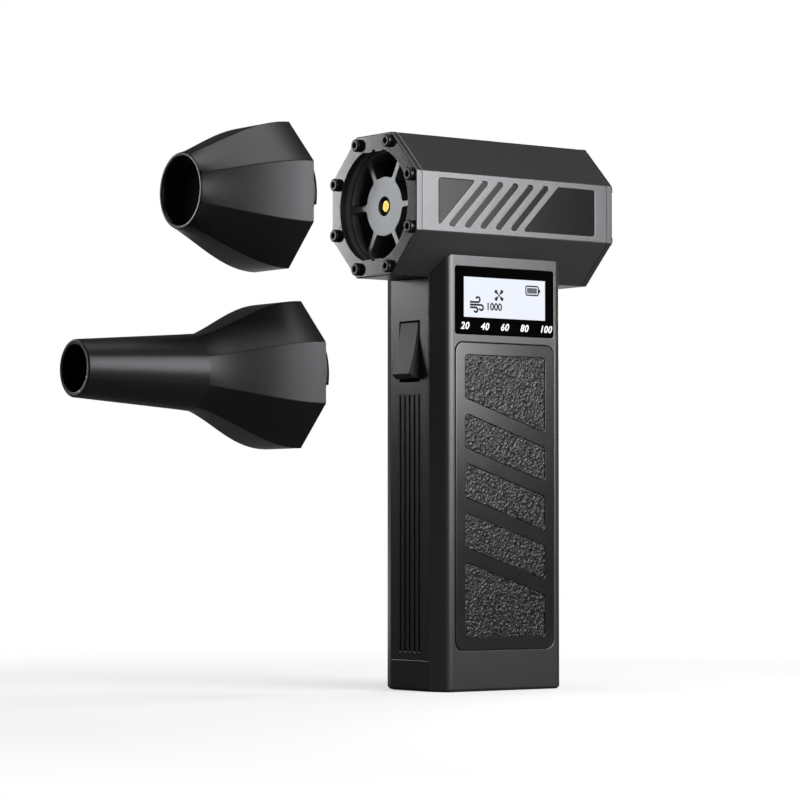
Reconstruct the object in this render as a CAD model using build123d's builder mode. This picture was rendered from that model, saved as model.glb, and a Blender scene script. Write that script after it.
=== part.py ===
"""A hand-held turbo blower for drying cars, with two loose nozzles.

The barrel lies along X with its outlet towards -X, the display faces -Y, and Z is up.
The origin is the middle of the flat base of the handle.  Lengths are millimetres.
"""
from build123d import *
from math import cos, pi, radians, sin, tan
import os

os.makedirs("parts", exist_ok=True)

# ---------------------------------------------------------------- driving dimensions
# barrel
axis_height = 170.0          # barrel axis above the base
across_flats = 50.0          # octagon of the barrel, nozzles and end plates
barrel_length = 88.6
end_plate_thickness = 2.5
edge_chamfer = 0.3           # broken outer edge of the end plates
housing_bore_radius = 21.4
opening_radius = 20.0        # round hole in both end plates
tab_length = 10.6            # flat catches at 12 and 6 o'clock in the outlet
tab_reach = 1.2
tab_thickness = 1.2
tab_notch = 1.8
fit_gap = 0.1                # between pieces that are pushed together
panel_gap = 0.15             # open joint round the side strips
hole_gap = 0.05              # round a screw in its hole

# end screws
end_screw_radius = 1.25
end_screw_length = 8.0
end_screw_head_radius = 2.25
end_screw_head_height = 1.75
inlet_screw_head_height = 1.1
end_screw_socket = 2.0       # across the flats of the hexagon socket
end_screw_circle = 23.7      # radius that the screws stand on

# side inlays
inlay_length = 70.2
inlay_height = 16.3
inlay_shift = 0.7            # inlay centre towards the inlet
inlay_depth = 0.5
inlay_sink = 0.1             # film lies this far below the panel
inlay_slots = 5
inlay_slant = 46.0           # degrees from the barrel axis
inlay_corner = 1.0           # rounding of the wide corners of the windows
inlay_tip = 0.4              # rounding of the narrow ones
slot_corner = 0.9
slot_width = 3.35            # along X
slant_gap = 3.5              # panel left between neighbouring windows, along X

# fan unit
duct_bore_radius = 19.0
duct_seat_radius = 20.2      # counterbore that takes the spider ring
spider_recess = 4.7          # spider face below the outlet face
spider_depth = 9.0
hub_radius = 10.5
spoke_count = 6
spoke_width = 2.1
spoke_fillet = 1.3
hub_hole_radius = 3.35
can_wall = 0.9
can_length = 38.6
cover_thickness = 1.5
cover_boss_wall = 1.3
bearing_radius = 4.0
bearing_width = 4.0
shaft_radius = 1.5
running_gap = 0.03           # radial, shaft in bearing
press_gap = 0.02             # radial, pieces pressed on the shaft
bush_radius = 2.9
bush_length = 3.5
bush_recess = 0.8            # brass bush below the hub face
bush_cap = 1.4               # its closed, domed front
bush_dome = 1.2
shaft_short = 1.0            # shaft inside the end of the fan wheel
magnet_radius = 4.6
magnet_length = 18.0
core_bore_radius = 5.1
core_length = 20.0
core_gap = 6.6               # from the spider to the core
winding_overhang = 2.5
tooth_width = 2.4
core_rim = 1.0               # closed rim outside the winding slots
core_lip = 0.6               # tooth tips inside them
blade_count = 9
blade_gap = 2.0              # from the motor cover to the fan wheel
blade_chord = 12.5           # along X
blade_thickness = 1.1        # at the root
blade_taper = 0.7            # share of it that is left at the tip
blade_overlap = 1.0          # blade inside the hub, and beyond its tip before that is turned
blade_root_angle = 38.0
blade_tip_angle = 56.0
impeller_hub_radius = 10.0
tip_gap = 0.3
spinner_length = 8.5
grille_thickness = 2.0
grille_bar = 1.4
inlet_flare = 1.0            # widening of the duct mouth

# handle
front_width = 50.0           # flat front of the handle
handle_depth = 36.4
side_wall = 2.1              # behind the side strips
strip_width = 22.4
corner_radius = 3.0
cavity_width = 48.8
cavity_depth = 32.0
top_wall = 3.0
saddle_gap = 0.05            # between the handle shells and the barrel
base_thickness = 2.5
base_edge = 0.9
strip_thickness = 2.0
strip_foot = 10.8            # height where the side strips begin
groove_count = 5
groove_pitch = 2.75
groove_width = 1.2
groove_depth = 0.8
groove_bottom = 13.7
groove_clear = 5.6           # grooves end this far below the trigger

# trigger
trigger_width = 10.9
trigger_side_gap = 0.5
trigger_drop = 40.5          # top of the trigger below the barrel axis
trigger_height = 19.9
trigger_reach = 4.0          # how far the lower lip stands out
trigger_lip = 1.6            # height of the slanted underside
trigger_hollow = 0.55        # how deep its face is hollowed for the finger
trigger_thickness = 0.9      # part of the trigger that lies below the strip face
trigger_slot_drop = 1.1      # room under the trigger for its swing
trigger_angle = 7.0          # full travel, degrees
pivot_depth = 2.9            # pivot axis below the strip face
pivot_drop = 1.6             # pivot axis below the top of the trigger
knuckle_radius = 1.6
pin_radius = 0.7
pin_length = 14.4
pivot_gap = 0.05
plunger_radius = 1.6
plunger_drop = 10.5          # plunger axis below the top of the trigger
plunger_stand = 1.4          # plunger out of the switch at rest
plunger_gap = 0.25
plunger_engaged = 1.0        # plunger inside the switch at rest
nub_length = 1.85            # nub behind the trigger that meets the plunger
trigger_edge = 0.35
trigger_nose = 0.4           # radius of its outer lip
switch_size = 6.2
switch_depth = 4.0
switch_floor = 1.6
switch_corner = 0.4
plunger_chamfer = 0.2
carrier_thickness = 1.0
carrier_width = 15.0
carrier_margin = 1.8
carrier_leg = 1.6
carrier_inset = 1.0          # legs narrower than the plate on each side
spring_post = 2.0
spring_drop = 17.0           # spring axis below the top of the trigger
spring_radius = 1.7
spring_wire = 0.4
spring_turns = 6

# display
bezel_width = 44.2
bezel_height = 23.6
bezel_drop = 33.1            # its middle below the barrel axis
bezel_corner = 1.0
bezel_thickness = 1.3
bezel_stand = 0.2
bezel_edge = 0.2
lcd_width = 36.8
lcd_height = 14.1
lcd_rise = 1.25              # its middle above the middle of the bezel
lcd_thickness = 2.4
lcd_sink = 0.3
display_board_width = 38.0
display_board_height = 17.0
display_board_rise = 0.7
display_recess = 3.1         # room behind the front wall for the display board
board_thickness = 1.6

# grip panels
grip_width = 44.4
grip_bottom = 14.4
grip_gap = 2.9               # between the frame and the bezel
grip_corner = 3.5
grip_seat = 1.2              # depth of the pocket in the shell
grip_stand = 0.3             # frame above the shell
grip_edge = 0.25
pad_width = 36.1
pad_margin = 4.4             # frame above and below the pads
pad_count = 5
pad_bar = 5.2                # height of the slanted bars between pads
pad_slope = 18.0             # degrees, falling to the right
pad_shift = 0.2              # middle of the bars below the middle of the frame
pad_pitch = 17.4
pad_corner = 1.4
pad_thickness = 1.4

# battery and boards
cell_headroom = 7.0          # above the upper cells, for the leads
cell_gap = 0.4               # between the two columns
cell_boss_gap = 0.2          # from a cell to the screw bosses beside it
cell_foot = 4.8
tray_wall = 1.0
strip_metal = 0.2
tab_size = 8.0
cell_edge = 0.5
driver_width = 34.0
driver_foot = 38.0           # lower edge of the driver board
driver_drop = 24.0           # its upper edge below the top of the cavity
board_corner = 1.0
standoff_height = 0.8
standoff_radius = 1.5
standoff_inset = 3.0
transistor_pitch = (10.0, 9.0)
transistor_size = (5.0, 6.0)
transistor_height = 1.2
transistor_drop = 20.0       # middle of the transistors below the top of the driver board
chip_size = 9.0
chip_height = 1.1
chip_edge = 0.2
chip_rise = 26.667           # its middle above the lower edge of the driver board
port_height = 20.0
port_sink = 0.3
charge_board_height = 18.0
charge_board_margin = 2.5    # board wider than the port on each side
charge_foot = 2.0            # its two feet, that stand on the wall
charge_foot_inset = 0.5
port_floor = 1.0             # closed back of the port
tongue_start = 0.5           # contact tongue, from the back of the port
tongue_length = 5.475
tongue_size = (6.66, 0.704)
port_clear = 9.0             # from the port up to the grooves
port_width = 9.0
port_thickness = 3.2
port_depth = 7.3
port_wall = 0.35
lead_radius = 0.6
lead_pitch = 1.9
lead_bend = 2.5
lead_tail = 10.0             # length soldered flat on the driver board
lead_rise = 3.2              # leads above the cell tray
lead_end = 2.0               # motor leads inside the motor can
battery_lead_y = 4.0

# screws of the handle
base_screw_radius = 1.0
base_screw_head = 1.9
base_screw_length = 8.0
base_boss_radius = 2.6
base_boss_height = 8.0
base_screw_inset = (3.6, 3.3)    # from the walls of the cavity
shell_screw_radius = 1.25
shell_screw_head = 2.0
shell_screw_head_height = 1.6
shell_screw_grip = 9.0       # thread in the front shell
shell_screw_foot = 34.0
shell_screw_drop = 72.0      # upper pair below the barrel axis
shell_screw_inset = 2.9      # from the side walls of the cavity
shell_screw_free = 0.5       # thread hole longer than the screw
shell_boss_radius = 2.7
neck_screw_radius = 1.5
neck_screw_spacing = (36.0, 14.0)
neck_screw_grip = 3.0        # depth of the tapped holes in the barrel wall
neck_screw_free = 0.4
end_screw_free = 0.5
screw_edge = 0.15            # chamfer of a head, share of its radius
socket_depth = 0.6           # of a socket, share of the head height

# nozzles
nozzle_wall = 1.8
nozzle_flange = 2.5
spigot_radius = 18.4
spigot_length = 5.0
spigot_wall = 1.6
lug_radius = 19.6
lug_thickness = 1.8
lug_start = 107.0            # degrees from the +Y side, catch from here ...
lug_sweep = 84.0             # ... over this angle, and once more opposite
wide_nozzle_rear = -87.3     # X of its rear face as it lies
wide_nozzle_length = 37.2
wide_mouth_radius = 12.9
wide_mouth_bore = 11.75
wide_turn = 2.1              # how late its sides turn in
wide_sweep = 0.95            # how straight they run on to the mouth
narrow_nozzle_rear = -82.2
narrow_nozzle_drop = 60.9    # its axis below the barrel axis
narrow_nozzle_length = 83.2
narrow_mouth_radius = 9.6
narrow_mouth_bore = 7.8
narrow_neck_radius = 12.9
narrow_flare_length = 38.5
narrow_turn = 2.3
narrow_sweep = 1.65
wide_fade = 6.0              # how late its facets turn round
narrow_fade = 5.0            # the same for the flare of the narrow one, whose facets end ...
neck_round = 0.6             # ... this far towards a circle, in a small step to the neck
neck_step = 0.08

# ---------------------------------------------------------------- shared geometry
apothem = across_flats / 2
outlet_face = -barrel_length / 2
inlet_face = barrel_length / 2
housing_start = outlet_face + end_plate_thickness
housing_end = inlet_face - end_plate_thickness
barrel_bottom = axis_height - apothem
octagon_vertex = apothem / cos(pi / 8)
half_front = front_width / 2
half_depth = handle_depth / 2
handle_width = cavity_width + 2 * (side_wall + strip_thickness)
half_width = handle_width / 2
half_strip = strip_width / 2
strip_inner = half_width - strip_thickness
cavity_x = cavity_width / 2
cavity_y = cavity_depth / 2
cavity_top = barrel_bottom - top_wall
trigger_top = axis_height - trigger_drop
trigger_bottom = trigger_top - trigger_height
plunger_height = trigger_top - plunger_drop
spring_height = trigger_top - spring_drop
groove_top = trigger_bottom - groove_clear
bezel_centre = axis_height - bezel_drop
lcd_centre = bezel_centre + lcd_rise
display_board_centre = bezel_centre + display_board_rise
grip_top = bezel_centre - bezel_height / 2 - grip_gap
pad_bottom = grip_bottom + pad_margin
pad_top = grip_top - pad_margin
shell_screw_offset = cavity_x - shell_screw_inset
cell_radius = (shell_screw_offset - shell_boss_radius - cell_boss_gap - cell_gap / 2) / 2
cell_spacing = 2 * cell_radius + cell_gap
cell_length = (cavity_top - cell_headroom - cell_foot - strip_metal) / 2
spider_start = outlet_face + spider_recess
spider_end = spider_start + spider_depth
can_end = spider_end + can_length
core_centre = spider_end + core_gap + core_length / 2
blade_start = can_end + cover_thickness + blade_gap
duct_radius = housing_bore_radius - fit_gap
plate_hole = end_screw_radius + 2 * hole_gap
lead_x = (core_centre + core_length / 2 + winding_overhang + can_end - bearing_width) / 2


def across(x, height=axis_height):
    """Plane square to the barrel axis: local x is +Y, local y is +Z, normal is +X."""
    return Plane(origin=(x, 0, height), x_dir=(0, 1, 0), z_dir=(1, 0, 0))


def facing_front(y):
    """Plane that looks out of the display side: local x is +X, local y is +Z, normal is -Y."""
    return Plane(origin=(0, y, 0), x_dir=(1, 0, 0), z_dir=(0, -1, 0))


def facing_rear(y):
    """Plane that looks out of the back: local x is -X, local y is +Z, normal is +Y."""
    return Plane(origin=(0, y, 0), x_dir=(-1, 0, 0), z_dir=(0, 1, 0))


def facing_side(x, sign):
    """Plane that looks out of a side strip: sign -1 is the trigger side, local y is +Z."""
    return Plane(origin=(x, 0, 0), x_dir=(0, sign, 0), z_dir=(sign, 0, 0))


def save(piece, name):
    piece.part.label = name
    export_step(piece.part, f"parts/{name}.step")


def octagon(radius, mode=Mode.ADD):
    return RegularPolygon(radius, 8, major_radius=False, rotation=22.5, mode=mode)


def ring_of_spots(radius, count, first_angle):
    """Points evenly spaced on a circle."""
    angles = [radians(first_angle + 360 * k / count) for k in range(count)]
    return [(radius * cos(a), radius * sin(a)) for a in angles]


def grid_of_spots(spacing, middle=(0.0, 0.0)):
    """The four corners of a rectangle."""
    half_x = spacing[0] / 2
    half_y = spacing[1] / 2
    return [(middle[0] + i * half_x, middle[1] + j * half_y) for i in (-1, 1) for j in (-1, 1)]


def cap_screws(seat, spots, shank, length, head, head_height, socket):
    """Socket-head screws; the seat plane's normal points out of the heads."""
    with BuildPart() as screws:
        with BuildSketch(seat):
            with Locations(*spots):
                Circle(shank)
        extrude(amount=-length)
        with BuildSketch(seat):
            with Locations(*spots):
                Circle(head)
        extrude(amount=head_height)
        tops = screws.faces().sort_by(Axis(seat.origin, seat.z_dir))[-len(spots):]
        chamfer(tops.edges(), screw_edge * head)
        with BuildSketch(seat.offset(head_height)):
            with Locations(*spots):
                RegularPolygon(socket / 2, 6, major_radius=False)
        extrude(amount=-socket_depth * head_height, mode=Mode.SUBTRACT)
    return screws


# ---------------------------------------------------------------- barrel
screw_spots = ring_of_spots(end_screw_circle, 8, 22.5)
inlay_lean = inlay_height / tan(radians(inlay_slant))


def rounded_polygon(*corners):
    """A polygon through corners given as (x, y, radius)."""
    with BuildSketch() as shape:
        Polygon(*[(x, y) for x, y, _ in corners], align=None)
        for x, y, radius in corners:
            fillet(shape.vertices().sort_by_distance((x, y, 0))[0], radius)
    return shape.sketch


def inlay_windows(panel, shrink=0.0):
    """The windows of a side panel: a triangle, slanted slots and a slanted rectangle."""
    left = -inlay_length / 2
    right = inlay_length / 2
    half = inlay_height / 2
    pitch = slot_width + slant_gap
    first_slot = left + inlay_lean / 2 + slant_gap + slot_width / 2
    last_edge = first_slot + pitch * (inlay_slots - 0.5) + slant_gap / 2
    with BuildSketch(panel) as windows:
        with Locations((inlay_shift, axis_height)):
            add(rounded_polygon(
                (left, half, inlay_corner), (left, -half, inlay_tip), (left + inlay_lean, half, inlay_tip)
            ))
            for k in range(inlay_slots):
                foot = first_slot + k * pitch - inlay_lean / 2
                head = foot + inlay_lean
                add(rounded_polygon(
                    (foot - slot_width / 2, -half, slot_corner),
                    (foot + slot_width / 2, -half, slot_corner),
                    (head + slot_width / 2, half, slot_corner),
                    (head - slot_width / 2, half, slot_corner),
                ))
            add(rounded_polygon(
                (last_edge - inlay_lean / 2, -half, inlay_tip),
                (right, -half, inlay_corner),
                (right, half, inlay_corner),
                (last_edge + inlay_lean / 2, half, inlay_corner),
            ))
        if shrink:
            offset(amount=-shrink)
    return windows.sketch


with BuildPart() as barrel_housing:
    with BuildSketch(across(housing_start)):
        octagon(apothem)
        Circle(housing_bore_radius, mode=Mode.SUBTRACT)
    extrude(amount=housing_end - housing_start)
    for end, inwards in ((housing_start, 1), (housing_end, -1)):
        with BuildSketch(across(end)):
            with Locations(*screw_spots):
                Circle(end_screw_radius + hole_gap)
        hole_depth = end_screw_length - end_plate_thickness + end_screw_free
        extrude(amount=inwards * hole_depth, mode=Mode.SUBTRACT)
    for panel in (facing_front(-apothem), facing_rear(apothem)):
        extrude(inlay_windows(panel), amount=-inlay_depth, mode=Mode.SUBTRACT)
    with BuildSketch(Plane.XY.offset(barrel_bottom)):
        with Locations(*grid_of_spots(neck_screw_spacing)):
            Circle(neck_screw_radius + hole_gap)
        with Locations((lead_x, 0)):
            SlotOverall(2 * lead_pitch + 3 * lead_radius, 3 * lead_radius)
    extrude(amount=neck_screw_grip, mode=Mode.SUBTRACT)
    with BuildSketch(Plane.XY.offset(barrel_bottom)):
        with Locations((lead_x, 0)):
            SlotOverall(2 * lead_pitch + 3 * lead_radius, 3 * lead_radius)
    extrude(amount=apothem / 2, mode=Mode.SUBTRACT)
save(barrel_housing, "barrel_housing")

for name, panel in (("side_inlay_front", facing_front(-apothem)), ("side_inlay_rear", facing_rear(apothem))):
    with BuildPart() as side_inlay:
        extrude(inlay_windows(panel.offset(-inlay_depth), hole_gap), amount=inlay_depth - inlay_sink)
    save(side_inlay, name)

with BuildPart() as outlet_plate:
    with BuildSketch(across(outlet_face)):
        octagon(apothem)
    extrude(amount=end_plate_thickness)
    chamfer(outlet_plate.edges().group_by(Axis.X)[0], edge_chamfer)
    with BuildSketch(across(outlet_face)):
        Circle(opening_radius)
        for side in (-1, 1):
            with Locations((0, side * opening_radius)):
                Rectangle(tab_length, 2 * tab_reach, mode=Mode.SUBTRACT)
            with Locations((0, side * (opening_radius - tab_reach))):
                Rectangle(tab_notch, 1.2 * tab_reach)
    extrude(amount=end_plate_thickness, mode=Mode.SUBTRACT)
    with BuildSketch(across(outlet_face + tab_thickness)):
        Circle(opening_radius)
    extrude(amount=end_plate_thickness - tab_thickness, mode=Mode.SUBTRACT)
    with BuildSketch(across(outlet_face)):
        with Locations(*screw_spots):
            Circle(plate_hole)
    extrude(amount=end_plate_thickness, mode=Mode.SUBTRACT)
save(outlet_plate, "outlet_plate")

with BuildPart() as inlet_plate:
    with BuildSketch(across(housing_end)):
        octagon(apothem)
    extrude(amount=end_plate_thickness)
    chamfer(inlet_plate.edges().group_by(Axis.X)[-1], edge_chamfer)
    with BuildSketch(across(housing_end)):
        Circle(opening_radius)
        with Locations(*screw_spots):
            Circle(plate_hole)
    extrude(amount=end_plate_thickness, mode=Mode.SUBTRACT)
save(inlet_plate, "inlet_plate")

outlet_seat = Plane(origin=(outlet_face, 0, axis_height), x_dir=(0, -1, 0), z_dir=(-1, 0, 0))
outlet_screws = cap_screws(
    outlet_seat, screw_spots, end_screw_radius, end_screw_length,
    end_screw_head_radius, end_screw_head_height, end_screw_socket,
)
save(outlet_screws, "outlet_screws")

inlet_screws = cap_screws(
    across(inlet_face), screw_spots, end_screw_radius, end_screw_length,
    end_screw_head_radius, inlet_screw_head_height, end_screw_socket,
)
save(inlet_screws, "inlet_screws")

# ---------------------------------------------------------------- fan unit
with BuildPart() as fan_duct:
    with BuildSketch(across(housing_start)):
        Circle(duct_radius)
        Circle(duct_bore_radius, mode=Mode.SUBTRACT)
    extrude(amount=housing_end - housing_start)
    with BuildSketch(across(housing_start)):
        Circle(duct_seat_radius)
    extrude(amount=spider_end - housing_start, mode=Mode.SUBTRACT)
    chamfer(fan_duct.edges().group_by(Axis.X)[-1].sort_by(SortBy.RADIUS)[0], inlet_flare)
    with BuildSketch(Plane.XY.offset(axis_height - duct_radius - 1)):
        with Locations((lead_x, 0)):
            SlotOverall(2 * lead_pitch + 3 * lead_radius, 3 * lead_radius)
    extrude(amount=duct_radius / 2, mode=Mode.SUBTRACT)
save(fan_duct, "fan_duct")

with BuildPart() as stator_spider:
    with BuildSketch(across(spider_start)):
        Circle(duct_seat_radius - fit_gap)
        Circle(hub_hole_radius, mode=Mode.SUBTRACT)
    extrude(amount=spider_depth)
    with BuildSketch(across(spider_start)) as spider_windows:
        Circle(duct_bore_radius)
        Circle(hub_radius, mode=Mode.SUBTRACT)
        with PolarLocations(0, spoke_count):
            Rectangle(duct_seat_radius, spoke_width, align=(Align.MIN, Align.CENTER), mode=Mode.SUBTRACT)
        fillet(spider_windows.vertices(), spoke_fillet)
    extrude(amount=spider_depth, mode=Mode.SUBTRACT)
    with BuildSketch(across(spider_end)):
        Circle(bearing_radius + hole_gap)
    extrude(amount=-bearing_width, mode=Mode.SUBTRACT)
save(stator_spider, "stator_spider")

with BuildPart() as motor_can:
    with BuildSketch(across(spider_end)):
        Circle(hub_radius)
        Circle(hub_radius - can_wall, mode=Mode.SUBTRACT)
    extrude(amount=can_end - spider_end)
    with BuildSketch(Plane.XY.offset(axis_height - hub_radius - 1)):
        with Locations((lead_x, 0)):
            SlotOverall(2 * lead_pitch + 3 * lead_radius, 3 * lead_radius)
    extrude(amount=hub_radius / 2, mode=Mode.SUBTRACT)
save(motor_can, "motor_can")

with BuildPart() as motor_rear_cover:
    with BuildSketch(across(can_end)):
        Circle(hub_radius)
    extrude(amount=cover_thickness)
    with BuildSketch(across(can_end)):
        Circle(bearing_radius + cover_boss_wall)
    extrude(amount=-bearing_width)
    with BuildSketch(across(can_end)):
        Circle(bearing_radius + hole_gap)
    extrude(amount=-bearing_width, mode=Mode.SUBTRACT)
    with BuildSketch(across(can_end + cover_thickness)):
        Circle(shaft_radius + 0.6)
    extrude(amount=-cover_thickness, mode=Mode.SUBTRACT)
save(motor_rear_cover, "motor_rear_cover")

for name, start in (("front_bearing", spider_end - bearing_width), ("rear_bearing", can_end - bearing_width)):
    with BuildPart() as bearing:
        with BuildSketch(across(start)):
            Circle(bearing_radius)
            Circle(shaft_radius + running_gap, mode=Mode.SUBTRACT)
        extrude(amount=bearing_width)
        chamfer(bearing.edges().filter_by(GeomType.CIRCLE).sort_by(SortBy.RADIUS)[-2:], 0.3)
        for face in (start, start + bearing_width):
            with BuildSketch(across(face)):
                Circle(0.8 * bearing_radius)
                Circle(0.58 * bearing_radius, mode=Mode.SUBTRACT)
            extrude(amount=0.25, both=True, mode=Mode.SUBTRACT)
    save(bearing, name)

core_start = core_centre - core_length / 2
core_end = core_centre + core_length / 2
core_radius = hub_radius - can_wall - fit_gap


def winding_sectors(x, shrink=0.0):
    """Six slots between the teeth of the stator core."""
    with BuildSketch(across(x)) as sectors:
        Circle(core_radius - core_rim - shrink)
        Circle(core_bore_radius + core_lip + shrink, mode=Mode.SUBTRACT)
        with PolarLocations(0, 6, start_angle=30):
            Rectangle(
                core_radius, tooth_width + 2 * shrink, align=(Align.MIN, Align.CENTER), mode=Mode.SUBTRACT
            )
    return sectors.sketch


with BuildPart() as stator_core:
    with BuildSketch(across(core_start)):
        Circle(core_radius)
        Circle(core_bore_radius, mode=Mode.SUBTRACT)
    extrude(amount=core_length)
    extrude(winding_sectors(core_start), amount=core_length, mode=Mode.SUBTRACT)
save(stator_core, "stator_core")

with BuildPart() as stator_windings:
    extrude(
        winding_sectors(core_start - winding_overhang, shrink=fit_gap),
        amount=core_length + 2 * winding_overhang,
    )
save(stator_windings, "stator_windings")

bush_start = spider_start + bush_recess
shaft_start = bush_start + bush_cap + fit_gap
impeller_end = blade_start + blade_chord
with BuildPart() as rotor_shaft:
    with BuildSketch(across(shaft_start)):
        Circle(shaft_radius)
    extrude(amount=impeller_end - shaft_short - shaft_start)
    chamfer(rotor_shaft.edges(), 0.2)
save(rotor_shaft, "rotor_shaft")

with BuildPart() as shaft_bush:
    with BuildSketch(across(bush_start)):
        Circle(bush_radius)
    extrude(amount=bush_length)
    fillet(shaft_bush.edges().group_by(Axis.X)[0], bush_dome)
    with BuildSketch(across(bush_start + bush_cap)):
        Circle(shaft_radius + press_gap)
    extrude(amount=bush_length - bush_cap, mode=Mode.SUBTRACT)
save(shaft_bush, "shaft_bush")

with BuildPart() as rotor_magnet:
    with BuildSketch(across(core_centre - magnet_length / 2)):
        Circle(magnet_radius)
        Circle(shaft_radius + press_gap, mode=Mode.SUBTRACT)
    extrude(amount=magnet_length)
save(rotor_magnet, "rotor_magnet")

with BuildPart() as impeller:
    for k in range(blade_count):
        turn = 360 * k / blade_count
        spoke = Plane(
            origin=(blade_start + blade_chord / 2, 0, axis_height),
            x_dir=(1, 0, 0),
            z_dir=(0, cos(radians(turn)), sin(radians(turn))),
        )
        root_length = blade_chord / cos(radians(blade_root_angle))
        tip_length = blade_chord / cos(radians(blade_tip_angle))
        with BuildSketch(spoke.offset(impeller_hub_radius - blade_overlap)):
            Rectangle(root_length, blade_thickness, rotation=blade_root_angle)
        with BuildSketch(spoke.offset(duct_bore_radius + blade_overlap)):
            Rectangle(tip_length, blade_taper * blade_thickness, rotation=blade_tip_angle)
        loft()
    with BuildSketch(across(blade_start)):
        Circle(duct_bore_radius - tip_gap)
    extrude(amount=blade_chord, mode=Mode.INTERSECT)
    with BuildSketch(across(blade_start)):
        Circle(impeller_hub_radius)
    extrude(amount=blade_chord)
    with BuildSketch(facing_front(0)):
        with BuildLine():
            Line((impeller_end, axis_height), (impeller_end, axis_height + impeller_hub_radius))
            ThreePointArc(
                (impeller_end, axis_height + impeller_hub_radius),
                (impeller_end + 0.72 * spinner_length, axis_height + 0.62 * impeller_hub_radius),
                (impeller_end + spinner_length, axis_height),
            )
            Line((impeller_end + spinner_length, axis_height), (impeller_end, axis_height))
        make_face()
    revolve(axis=Axis((0, 0, axis_height), (1, 0, 0)))
    with BuildSketch(across(blade_start)):
        Circle(shaft_radius + press_gap)
    extrude(amount=blade_chord, mode=Mode.SUBTRACT)
save(impeller, "impeller")

with BuildPart() as inlet_grille:
    with BuildSketch(across(housing_end)):
        Circle(opening_radius - fit_gap)
        Circle(opening_radius - fit_gap - grille_bar, mode=Mode.SUBTRACT)
        for share in (0.72, 0.48):
            Circle(share * opening_radius + grille_bar / 2)
            Circle(share * opening_radius - grille_bar / 2, mode=Mode.SUBTRACT)
        Circle(0.25 * opening_radius)
        with PolarLocations(0, 6):
            Rectangle(opening_radius - 2 * fit_gap, grille_bar, align=(Align.MIN, Align.CENTER))
    extrude(amount=grille_thickness)
save(inlet_grille, "inlet_grille")

# ---------------------------------------------------------------- handle shells
slot_bottom = trigger_bottom - trigger_slot_drop
slot_top = trigger_top + trigger_side_gap
half_slot = trigger_width / 2 + trigger_side_gap
pivot_x = -half_width + pivot_depth
pivot_height = trigger_top - pivot_drop
grip_middle = (grip_bottom + grip_top) / 2
base_spots = grid_of_spots((cavity_width - 2 * base_screw_inset[0], cavity_depth - 2 * base_screw_inset[1]))
shell_screw_heights = (shell_screw_foot, axis_height - shell_screw_drop)
shell_screw_spots = [
    (side * shell_screw_offset, height) for side in (-1, 1) for height in shell_screw_heights
]


def grip_outline(panel, clearance=0.0):
    """Outline of a grip frame, or of its seat when given a clearance."""
    with BuildSketch(panel) as outline:
        with Locations((0, grip_middle)):
            RectangleRounded(grip_width + 2 * clearance, grip_top - grip_bottom + 2 * clearance, grip_corner)
    return outline.sketch


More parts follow.
